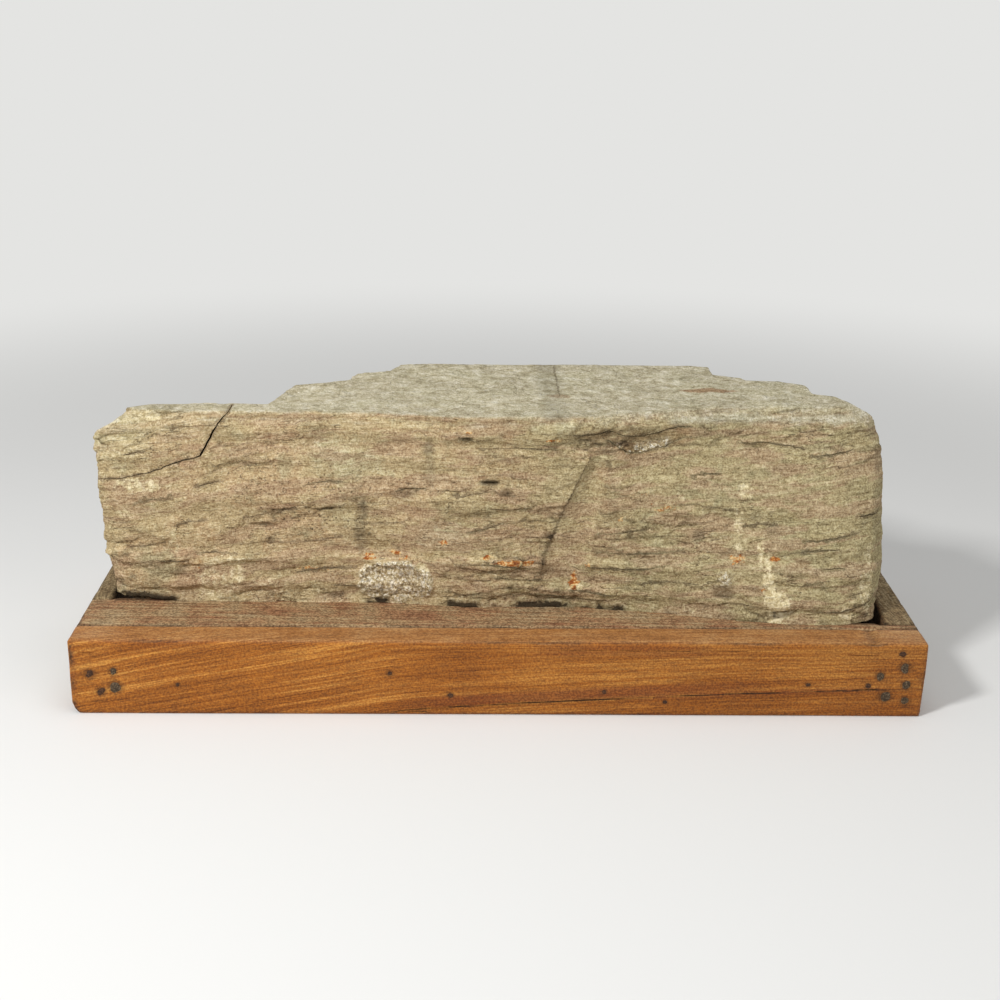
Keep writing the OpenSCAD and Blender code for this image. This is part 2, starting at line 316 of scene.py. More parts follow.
# Places on the stone, in millimetres: x from the frame's middle, z above the stone's foot, and on
# top, x and the distance behind the frame's front.
crackLine = [(-449, 136), (-403, 141), (-368, 150), (-340, 162), (-321, 166), (-308, 191), (-296, 208),
             (-276, 227)]
creviceLines = [
    ([(79, 194), (97, 195), (115, 198), (131, 191), (156, 190), (182, 197), (207, 197)], 2.0),
    ([(108, 191), (116, 186), (134, 173), (150, 173), (177, 178), (206, 188)], 1.5),
    ([(84, 188), (98, 187)], 0.8), ([(136, 184), (160, 184), (178, 187)], 0.9),
]
splits = [      # from x, z to x, z, bow and width
    (258, 178, 328, 174, 2, 1.2), (337, 167, 382, 173, -1, 1.4), (300, 67, 364, 76, 2, 1.2),
    (347, 55, 371, 56, 1, 2.4), (323, 39, 354, 45, 1, 1.2), (98, 64, 198, 69, -4, 1.0),
    (101, 46, 181, 53, -3, 1.3), (104, 84, 164, 92, -2, 0.9), (383, 107, 410, 109, -1, 2.0),
    (326, 83, 390, 92, -2, 1.2), (-330, 130, -298, 137, 1, 1.6), (-278, 95, -221, 109, -1, 1.3),
    (-408, 59, -364, 66, -1, 1.2), (-331, 54, -286, 54, 2, 1.3), (-211, 133, -172, 138, 2, 1.1),
    (-257, 67, -171, 76, -3, 1.0), (-225, 32, -157, 40, 2, 1.0), (-372, 47, -341, 45, 1, 1.6),
    (-112, 128, -80, 132, 2, 1.6), (-10, 113, 40, 117, -3, 1.3), (-24, 178, 60, 178, 1, 0.8),
    (-47, 125, -7, 132, 1, 1.0), (-36, 84, 2, 95, -1, 1.0), (-50, 49, 35, 44, 2, 1.2),
    (-20, 40, 37, 45, -1, 1.0), (-8, 33, 46, 30, -1, 1.2), (-60, 10, 18, 13, 3, 1.0),
    (22, 14, 96, 9, 2, 1.3), (60, 20, 122, 15, 2, 0.9), (372, 27, 392, 29, 1, 1.6),
    (205, 147, 238, 149, 1, 0.8), (262, 96, 300, 98, 1, 0.8), (236, 16, 290, 13, 2, 0.9),
    (335, 12, 400, 20, -3, 1.2), (-180, 20, -130, 14, 1, 0.9), (-395, 112, -352, 118, 2, 0.9),
    (-352, 196, -290, 199, 1, 0.7), (-402, 166, -380, 170, 0, 1.3), (-352, 86, -318, 92, 2, 0.8),
    (-150, 90, -98, 96, -2, 0.8), (150, 30, 214, 34, 2, 0.9), (196, 118, 250, 112, 2, 0.8),
]

rustSpots = [   # x, z, half length, half height, strength
    (-141, 54, 8, 3, 1.0), (-113, 58, 7, 3.5, 0.9), (-103, 54, 9, 2.5, 0.8), (-62, 72, 8, 5, 0.6),
    (-16, 57, 9, 3, 0.8), (18, 51, 26, 3, 0.75), (81, 30, 4.5, 10, 0.85), (96, 49, 4, 5, 0.6),
    (131, 102, 4, 3.5, 0.7), (-205, 38, 24, 2.5, 0.5), (256, 61, 10, 8, 0.5), (296, 66, 7, 3, 0.8),
    (-35, 198, 9, 2, 0.6), (55, 190, 10, 3, 0.5), (-330, 42, 7, 9, 0.35), (180, 116, 22, 7, 0.35),
    (150, 132, 16, 5, 0.25), (285, 34, 4, 3, 0.4), (-360, 60, 4, 4, 0.2),
]
limeSpots = [
    (289, 42, 7, 24, 0.9), (297, 20, 13, 18, 0.9), (281, 72, 4, 15, 0.8), (264, 137, 9, 4, 0.9),
    (-300, 48, 26, 8, 0.55), (-316, 24, 22, 14, 0.5), (390, 42, 6, 30, 0.6),
    (-374, 207, 14, 5, 0.9), (-369, 190, 3, 15, 0.6), (-402, 170, 28, 8, 0.45), (-388, 132, 26, 9, 0.7),
    (-404, 100, 12, 6, 0.5), (-355, 66, 5, 32, 0.55), (-338, 78, 18, 3, 0.45), (-319, 11, 26, 8, 0.6),
    (-283, 50, 17, 3, 0.8), (-287, 30, 9, 18, 0.6), (-300, 40, 20, 14, 0.35), (-230, 12, 40, 9, 0.4),
    (130, 208, 78, 6, 0.5), (265, 134, 8, 9, 0.85), (258, 104, 6, 26, 0.6), (256, 76, 9, 14, 0.45),
    (281, 72, 3, 12, 0.7), (289, 44, 7, 24, 0.85), (300, 14, 15, 17, 0.9), (398, 52, 5, 46, 0.6),
    (89, 23, 5, 4, 1.0), (218, 74, 12, 8, 0.45), (60, 10, 15, 5, 0.6), (205, 8, 18, 4, 0.5),
    (372, 12, 14, 9, 0.6), (-300, 214, 60, 3, 0.5), (-420, 60, 6, 50, 0.3), (193, 125, 7, 4, 0.5),
    (-45, 8, 14, 4, 0.5), (-84, 42, 9, 7, 0.9), (-66, 18, 12, 6, 0.5), (-250, 20, 30, 10, 0.45),
]
# Dark smudges and streaks. The ones over the hollows are painted shade in them.
smudgeAndShadeSpots = [
    (-148, 110, 5, 14, 1.0), (-152, 82, 6, 30, 0.65), (-77, 178, 5, 9, 0.8), (-76, 155, 6, 22, 0.45),
    (215, 86, 7, 8, 0.7), (58, 214, 14, 4, 0.7), (276, 104, 7, 8, 0.35), (292, 96, 8, 8, 0.4),
    (-37, 190, 9, 3, 0.8), (-11, 142, 12, 3.5, 1.0), (100, 192, 26, 5, 0.35), (410, 120, 8, 70, 0.25),
    (403, 195, 8, 14, 0.7), (243, 30, 14, 7, 0.3), (-102, 126, 14, 6, 0.5), (240, 196, 60, 10, 0.2),
]
quietSpots = [  # the smoother parts of the face
    (205, 150, 90, 38, 1.0), (-60, 165, 70, 28, 0.7), (-170, 165, 80, 30, 0.8), (330, 135, 60, 28, 0.6),
    (-200, 80, 60, 22, 0.5), (60, 150, 40, 40, 0.5), (-10, 75, 60, 18, 0.4), (-310, 40, 120, 45, 0.55),
    (-380, 120, 60, 40, 0.5), (-190, 30, 60, 30, 0.5),
]
footGaps = [    # from x, to x, height
    (-430, -352, 6.5), (-151, -118, 3), (-60, -19, 4), (15, 70, 4.5), (104, 142, 3.5),
    (-100, -78, 1.5), (176, 205, 1.5), (340, 372, 2.5),
]
hollows = [     # x, z, half length, half height, depth
    (-11, 142, 13, 3.2, 6), (-37, 190, 9, 3, 5), (-102, 129, 15, 7, 3), (243, 27, 14, 7, 5),
    (278, 178, 20, 3, 4), (-372, 186, 7, 5, 3), (160, 58, 20, 3, 3), (-338, 41, 16, 3, 3),
    (-310, 186, 5, 12, 2), (330, 62, 16, 3, 3), (-255, 88, 24, 3, 2.5), (190, 104, 12, 4, 3),
]


def spotSum(x, z, spots, ragged):
    total = np.zeros(len(x))
    for cx, cz, rx, rz, strength in spots:
        r = np.hypot((x - cx) / rx, (z - cz) / rz)
        total = np.maximum(total, strength * ease(-0.15, 0.55, 1.15 - r + 0.75 * ragged))
    return total


def bedRise(x):
    # The beds climb to the right over the left third, then run nearly level.
    return 0.034 * np.tanh((x + 0.43) / 0.3) + 0.045 * np.maximum(0, x - 0.12)


def channelAcross(x, z):
    # 0 at the channel's sharp left edge and 1 at its faint right edge.
    left = np.interp(z, [30, 60, 114, 172], [43, 50, 70, 97])
    right = np.interp(z, [20, 57, 111, 172], [100, 100, 105, 113])
    return (x - left) / (right - left)


def carveStone(piece):
    look = stoneLook
    p = getPoints(piece)
    n = getNormals(piece)
    foot = baseTop
    x, z = p[:, 0] / mm, (p[:, 2] - foot) / mm
    low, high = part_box("stone")
    front = ease(0.25, 0.75, -n[:, 1])
    flatTop = ease(0.6, 0.92, n[:, 2])
    under = ease(0.6, 0.9, -n[:, 2])

    # The beds: height measured along their gentle waves.
    wave = fractal(p, (0.13, 0.16, 0.08), 21, 2) * 0.008 + fractal(p, (0.030, 0.05, 0.025), 23, 2) * 0.0022
    bed = p.copy()
    bed[:, 2] = p[:, 2] - bedRise(p[:, 0]) + wave
    setCourse(piece, "bed", bed)

    rough = fractal(p, (0.10, 0.10, 0.06), 31, 3)
    patchy = ease(-0.35, 0.45, fractal(p, (0.10, 0.1, 0.045), 37, 3) + 0.25 * ease(150, 40, z))
    quiet = 0
    for cx, cz, rx, rz, strength in quietSpots:
        quiet = np.maximum(quiet, strength * ease(0, 0.5, 1 - np.hypot((x - cx) / rx, (z - cz) / rz)))
    quiet = quiet * front
    setMask(piece, "quiet", quiet)
    patchy = patchy * (1 - 0.8 * quiet)
    bend = np.stack([fractal(p, (0.02, 0.02, 0.02), s, 2) for s in (41, 43, 47)], 1) * [0.010, 0.008, 0.0024]
    edgeBig, ownBig, aboveBig = flakes(bed + 1.6 * bend, (0.13, 0.10, 0.036), 51)
    edge, own, above = flakes(bed + bend, (0.050, 0.045, 0.0115), 61)
    edgeSmall, ownSmall, aboveSmall = flakes(bed + 0.5 * bend, (0.019, 0.02, 0.0052), 65)
    fine = fractal(bed, (0.030, 0.034, 0.0042), 71, 2)
    grit = flakes(p, (0.0062, 0.0062, 0.0062), 81)[1]
    ragged = fractal(p, (0.011, 0.011, 0.008), 91, 3)

    # Inside the channel the face is smooth.
    across = channelAcross(x, z)
    inChannel = (ease(0, 0.03, across) * (1 - ease(0.9, 1.15, across)) * ease(16, 40, z)
                 * (1 - ease(168, 174, z - 0.25 * (x - 97))) * front)
    calm = 1 - 0.8 * inChannel

    # Ragged band and hollow under the upper edge, right of the middle.
    upperEdge, lowerEdge = (np.interp(x, *np.transpose(turns)) + 1.5 * ragged
                            for turns, wide in creviceLines[:2])
    crevice = (ease(-1, 2, z - lowerEdge) * ease(1.5, -1, z - upperEdge)
               * ease(104, 116, x) * ease(207, 196, x) * front)
    shattered = ease(0, 1, 1.3 - np.hypot((x - 128) / 62, (z - 192) / 16)) * front
    footSplits = ease(0, 1, 1.2 - np.hypot((x - 55) / 120, (z - 6) / 14)) * front

    # Thin flakes, each with a lip along its lower edge.
    push = look["lumpDepth"] * rough
    push += look["flakeDepth"] * 0.45 * ownBig * (0.3 + 0.7 * patchy)
    push += look["flakeDepth"] * (0.42 * own + 0.16 * ownSmall) * (0.25 + 0.75 * patchy)
    push -= look["ledgeDepth"] * patchy * (0.45 * np.clip(aboveBig, -0.5, 0.5)
                                           + 0.75 * np.clip(above, -0.5, 0.5)
                                           + 0.3 * np.clip(aboveSmall, -0.5, 0.5))
    push += look["bedDepth"] * fine * (1 + 1.8 * shattered + 2.0 * footSplits)
    lips = (1 - ease(0.0, 0.16, edge)) * ease(-0.1, 0.3, -above) * ease(-0.1, 0.5, own + 0.7 * patchy)
    lipsSmall = ((1 - ease(0.0, 0.22, edgeSmall)) * ease(0.0, 0.3, -aboveSmall)
                 * ease(0.1, 0.6, ownSmall + 0.5 * patchy))
    push -= (1.5 * mm * lips + 0.6 * mm * lipsSmall) * patchy
    push += 0.35 * mm * grit * (1 - 0.6 * patchy) + 0.4 * mm * fractal(p, (0.006, 0.006, 0.004), 75, 2)
    push *= calm * (1 - 0.65 * flatTop) * (1 - under)

    push -= look["channelDepth"] * inChannel * (1 - ease(0, 1, across)) ** 0.6
    cluster = crevice * ease(120, 127, x) * ease(186, 176, x) * ease(12, 7, z - lowerEdge)
    push -= 1.5 * mm * crevice
    push += (1.6 * mm + 2.4 * mm * grit) * cluster
    for cx, cz, rx, rz, depth in hollows:
        r = np.hypot((x - cx) / rx, (z - cz) / rz) + 0.35 * ragged
        push -= depth * mm * (1 - ease(0.35, 1, r)) * front
    r = (np.abs(x + 115) / 40) ** 2.6 + (np.abs(z - 26) / 23) ** 2.6 + 0.5 * ragged
    mortar = ease(1.15, 0.75, r) * front
    rim = ease(0.55, 0.8, r) * ease(1.15, 0.95, r) * front * ease(8, 20, z)
    push += mortar * (2.2 * mm + 1.1 * mm * grit) + 1.2 * mm * rim
    lump = ease(0, 0.5, 1 - np.hypot((x - 243) / 10, (z - 43) / 11)) * front
    push += lump * (2.5 * mm + 1.5 * mm * grit)
    push = np.clip(push, -12 * mm, 7 * mm)
    p += n * push[:, None]

    # Along the front the foot is split and lifted in places, which leaves thin gaps.
    slots = np.round((x + 450) / 5).astype(int).clip(0, 180)
    frontLine = np.full(181, high[1])
    nearFoot = z < 25
    np.minimum.at(frontLine, slots[nearFoot], p[nearFoot, 1])
    frontLine = np.interp(x, np.arange(181) * 5 - 450, frontLine)
    stretch = fractal(np.stack([x * mm, x * 0, x * 0], 1), (0.03, 1, 1), 101, 3)
    lift = np.zeros(len(p))
    for start, end, height in footGaps:
        lift = np.maximum(lift, height * ease(start - 4, start + 8, x) * ease(end + 4, end - 8, x))
    lift = lift * (0.75 + 0.5 * stretch) * ease(16, 2, z) * ease(7, 4, (p[:, 1] - frontLine) / mm)
    p[:, 2] += lift * mm - 3.0 * mm * ease(9, 1, z)
    p[:, 2] = np.maximum(p[:, 2], foot)
    # The upper corners stand out a little, which the plain solid rounds off.
    p[:, 0] += 5 * mm * ease(380, 412, x) * ease(10, 70, z) + 7 * mm * ease(330, 400, x) * ease(188, 208, z)
    p[:, 0] -= 4.5 * mm * ease(-395, -422, x) * ease(10, 60, z)
    p[:, 2] += 3 * mm * ease(-330, -395, x) * ease(170, 212, z)
    p[:, 0] = np.clip(p[:, 0], low[0] - 7 * mm, high[0] + 9 * mm)
    setPoints(piece, p)

    # Masks that the finish reads.
    broken = 0.6 * ragged + 0.4 * fractal(p, (0.005, 0.005, 0.004), 95, 2)
    onFront = front * (1 - ease(0.0, 0.5, n[:, 2] - 0.4))
    # Painted shade: creaseShade darkens the lips under the flakes, the deep hollows, the channel's left edge,
    # the broken band and the gaps under the lifted foot.
    creaseShade = (lips * 1.0 + 0.55 * lipsSmall) * patchy * calm * (1 - flatTop)
    creaseShade += ((1 - ease(0.0, 0.05, edgeBig)) * ease(-0.1, 0.2, -aboveBig)
               * 0.45 * patchy * calm * (1 - flatTop))
    deep = ease(1.8, 6.0, -(push - look["lumpDepth"] * rough) / mm) * (1 - flatTop)
    channelLine = np.exp(-((across + 0.015) / 0.045) ** 2) * ease(34, 50, z) * (1 - ease(169, 175, z)) * front
    layered = np.exp(-((fine - 0.1) / 0.16) ** 2) * np.maximum(shattered, 0.9 * footSplits)
    setMask(piece, "creaseShade", creaseShade + 0.8 * deep + 0.9 * channelLine + 0.12 * crevice
            + 0.75 * layered + 1.4 * ease(0.8, 2.5, lift) * ease(8, 3, z))
    setMask(piece, "rust", spotSum(x, z, rustSpots, 1.1 * broken) * onFront)
    lime = spotSum(x, z, limeSpots, 1.0 * broken) * np.maximum(onFront, 0.4 * front)
    lime = np.maximum(lime, 0.85 * rim)
    strewn = ease(0.50, 0.85, fractal(p, (0.035, 0.03, 0.010), 131, 4)) * (1 - under)
    lime = np.maximum(lime, 0.55 * strewn * (1 - 0.5 * flatTop))
    setMask(piece, "lime", np.maximum(lime, 0.15 * inChannel))
    setMask(piece, "smudgeAndShade", spotSum(x, z, smudgeAndShadeSpots, 0.7 * broken) * np.maximum(front, 0.6 * flatTop))
    crust = np.maximum(cluster * ease(-0.5, 0.1, grit), 0.75 * lump)
    setMask(piece, "mortar", np.maximum(0.75 * mortar + 0.45 * rim, crust))
    brown = (ease(-5, 0, z - lowerEdge) * ease(6, 0, z - upperEdge)
             * ease(80, 92, x) * ease(212, 200, x) * front)
    setMask(piece, "brown", brown * (0.7 + 0.6 * ragged))
    pitted = ease(0, 1, 1.25 - np.hypot((x + 200) / 150, (z - 125) / 75)) * onFront
    setMask(piece, "pitted", pitted + 0.3 * onFront * patchy)
    spill = ease(200, 214, z + 7 * ragged) * ease(0.05, 0.35, n[:, 2] + 0.3 * broken)
    setMask(piece, "dust", np.maximum(ease(0.5, 0.85, n[:, 2] + 0.1 * rough + 0.15 * ragged), 0.7 * spill)
            * (1 - 0.85 * ease(196, 186, z)))
    cream = ease(150, 190, z - 0.25 * x - 100) * ease(-290, -330, x)
    cream += 0.6 * ease(22, 4, z) * ease(-120, -330, x)
    setMask(piece, "cream", cream * front)
    # The back and the underside are thinned first, so that the split face keeps its fine relief.
    hidden = np.nonzero(np.maximum(under, ease(0.2, 0.8, n[:, 1])) > 0.5)[0].tolist()
    piece.vertex_groups.new(name="hidden").add(hidden, 1, "REPLACE")


def countTriangles(piece):
    return sum(len(face.vertices) - 2 for face in piece.data.polygons)


def dropPockets(piece):
    # The saw-thin crack of the plain solid leaves closed pockets, which go.
    makeActive(piece)
    bpy.ops.object.mode_set(mode="EDIT")
    bpy.ops.mesh.select_all(action="DESELECT")
    bpy.ops.object.mode_set(mode="OBJECT")
    points = getPoints(piece)
    piece.data.vertices[int(points[:, 1].argmax())].select = True
    bpy.ops.object.mode_set(mode="EDIT")
    bpy.ops.mesh.select_mode(type="VERT")
    bpy.ops.mesh.select_linked()
    bpy.ops.mesh.select_all(action="INVERT")
    bpy.ops.mesh.delete(type="VERT")
    bpy.ops.object.mode_set(mode="OBJECT")


def softenLayers(piece):
    # The plain solid's level ledges are melted away on the upright faces, but not at the arrises.
    p = getPoints(piece)
    n = getNormals(piece)
    up = (p[:, 2] - baseTop) / mm
    share = ease(4, 12, up) * ease(214, 204, up) * ease(0.7, 0.5, n[:, 1])
    group = piece.vertex_groups.new(name="faces")
    for level in range(1, 6):
        chosen = np.nonzero(np.round(share * 5) == level)[0].tolist()
        group.add(chosen, level / 5, "REPLACE")
    applyModifier(piece, "SMOOTH", factor=0.5, iterations=45, vertex_group="faces")
    piece.vertex_groups.remove(piece.vertex_groups["faces"])


def smoothLine(turns, step):
    spots = []
    for i in range(len(turns) - 1):
        steps = max(2, round(math.dist(turns[i], turns[i + 1]) / step))
        for k in range(steps):
            spots.append([turns[i][j] * (1 - k / steps) + turns[i + 1][j] * k / steps for j in (0, 1)])
    return np.array(spots + [list(turns[-1])])


def addRibbons(name, ribbons):
    # Each ribbon is a line of points, the way it is thick, its widths at one face and at the other,
    # and the shifts of those two faces.
    points, faces = [], []
    for line, side, widths, shifts in ribbons:
        start, count = sum(len(q) for q in points), len(line)
        for width, shift in zip(widths, shifts):
            for sign in (-1, 1):
                points.append(line + side * (sign * np.asarray(width) / 2)[..., None] + shift)
        rings = (0, 1, 3, 2)
        for i in range(count - 1):
            for u, v in zip(rings, rings[1:] + rings[:1]):
                corners = u * count + i, v * count + i, v * count + i + 1, u * count + i + 1
                faces.append([start + k for k in corners])
        faces.append([start + u * count for u in rings][::-1])
        faces.append([start + u * count + count - 1 for u in rings])
    piece = bpy.data.objects.new(name, bpy.data.meshes.new(name))
    piece.data.from_pydata(np.concatenate(points).tolist(), [], faces)
    bpy.context.scene.collection.objects.link(piece)
    makeActive(piece)
    bpy.ops.object.mode_set(mode="EDIT")
    bpy.ops.mesh.select_all(action="SELECT")
    bpy.ops.mesh.normals_make_consistent(inside=False)
    bpy.ops.object.mode_set(mode="OBJECT")
    return piece


def alongFace(turns, step):
    # From turns in millimetres on the front to points, the direction across them, and the distance run.
    spots = smoothLine(turns, step) * mm
    line = np.stack([spots[:, 0], spots[:, 0] * 0, baseTop + spots[:, 1]], 1)
    ahead = np.gradient(line, axis=0)
    ahead /= np.linalg.norm(ahead, axis=1)[:, None]
    return line, np.stack([-ahead[:, 2], ahead[:, 0] * 0, ahead[:, 0]], 1), np.linspace(0, 1, len(line))


def layOnFace(line, p):
    # Each point takes the depth of the face around it.
    for spot in line:
        near = np.hypot(p[:, 0] - spot[0], p[:, 2] - spot[2])
        spot[1] = p[near < max(3 * mm, near.min() * 1.2), 1].mean()


def cutCracks(piece):
    # The parting in the upper left corner, then the short dark splits under the flakes, then the
    # two edges of the broken band under the top.
    ribbons = []
    line, side, run = alongFace(crackLine, 4)
    jitter = fractal(line, (0.007, 1, 0.007), 401, 3)
    line += side * (1.5 * mm * jitter)[:, None]
    width = stoneLook["crackWidth"] * np.interp(line[:, 0] / mm, [-446, -386, -336, -322, -308, -294, -280],
                                                [0.45, 0.55, 0.65, 1.0, 1.05, 0.6, 0.35])
    width *= 1 + 0.35 * fractal(line, (0.004, 1, 0.004), 407, 2)
    ribbons.append((line, side, (width, width * 0.5),
                    [np.array([0, frontY + depth, 0]) for depth in (70 * mm, 142 * mm)]))
    p = getPoints(piece)
    facing = getNormals(piece)[:, 1] < -0.3
    p = p[facing]
    for i, (x1, z1, x2, z2, bow, wide) in enumerate(splits):
        t = np.linspace(0, 1, 5)
        turns = [(x1 + (x2 - x1) * k, z1 + (z2 - z1) * k + bow * math.sin(math.pi * k)) for k in t]
        line, side, run = alongFace(turns, 3)
        line += side * (1.1 * mm * fractal(line + i, (0.009, 1, 0.009), 411, 3))[:, None]
        layOnFace(line, p)
        width = wide * mm * (0.25 + 0.75 * np.sin(math.pi * run) ** 0.6)
        ribbons.append((line, side, (width, width * 0.4),
                        [np.array([0, -8 * mm, 0.0]), np.array([0, 5 * mm, 1.5 * mm])]))
    for turns, wide in creviceLines:
        line, side, run = alongFace(turns, 3)
        line += side * (1.6 * mm * fractal(line, (0.008, 1, 0.008), 431, 3))[:, None]
        layOnFace(line, p)
        width = wide * mm * (0.25 + 0.75 * np.sin(math.pi * run) ** 0.5)
        width *= 1 + 0.5 * fractal(line, (0.005, 1, 0.005), 435, 2)
        ribbons.append((line, side, (width, width * 0.4),
                        [np.array([0, -8 * mm, 0.0]), np.array([0, 6 * mm, 2 * mm])]))
    cutter = addRibbons("crackCutter", ribbons)
    # The cutter's walls take creaseShade, so the walls of the cut cracks are painted dark: painted shade.
    setMask(cutter, "creaseShade", np.ones(len(cutter.data.vertices)))
    applyModifier(piece, "BOOLEAN", operation="DIFFERENCE", object=cutter, solver="MANIFOLD")
    bpy.data.objects.remove(cutter)


def fillSlot(piece):
    # The plain solid's saw-straight crack is filled first, so that the jagged one can take its place.
    turns = [(x, z) for x, z in crackLine if -430 < x < -285]
    line, side, run = alongFace(turns, 6)
    ends = [np.array([0, frontY + depth, 0]) for depth in (115 * mm, 146 * mm)]
    filler = addRibbons("crackFiller", [(line, side, (5 * mm + run * 0, 5 * mm + run * 0), ends)])
    deselectAll()
    filler.select_set(True)
    piece.select_set(True)
    bpy.context.view_layer.objects.active = piece
    bpy.ops.object.join()


def makeStone():
    source = frame["nodes"]["stone"]
    makeActive(source)
    bpy.ops.object.duplicate()
    piece = bpy.context.object
    piece.name = "corbelStone"
    piece.parent = None
    for key in list(piece.keys()):
        del piece[key]
    makeActive(piece)
    bpy.ops.object.mode_set(mode="EDIT")
    bpy.ops.mesh.select_all(action="SELECT")
    bpy.ops.mesh.remove_doubles(threshold=0.00001)
    bpy.ops.object.mode_set(mode="OBJECT")
    fillSlot(piece)
    applyModifier(piece, "REMESH", mode="VOXEL", voxel_size=stoneLook["voxel"])
    dropPockets(piece)
    applyModifier(piece, "SMOOTH", factor=0.5, iterations=5)
    softenLayers(piece)
    print("stone remeshed:", len(piece.data.polygons), "faces")
    carveStone(piece)
    group = piece.vertex_groups["hidden"].index
    chosen = sum(any(g.group == group for g in v.groups) for v in piece.data.vertices)
    share = chosen / len(piece.data.vertices)
    applyModifier(piece, "DECIMATE", ratio=1 - 0.65 * share, vertex_group="hidden", vertex_group_factor=0)
    print("stone thinned behind and below:", round(share, 2), "of it, to", countTriangles(piece), "triangles")
    piece.vertex_groups.clear()
    applyModifier(piece, "DECIMATE", ratio=stoneLook["triangles"] / countTriangles(piece))
    print("stone carved:", countTriangles(piece), "triangles")
    cutCracks(piece)
    makeActive(piece)
    bpy.ops.object.shade_smooth_by_angle(angle=math.radians(55))
    print("stone cut:", countTriangles(piece), "triangles")
    piece.data.materials.clear()
    piece.data.materials.append(makeStoneFinish())
    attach(piece, "root")
    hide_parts("stone")
    return piece


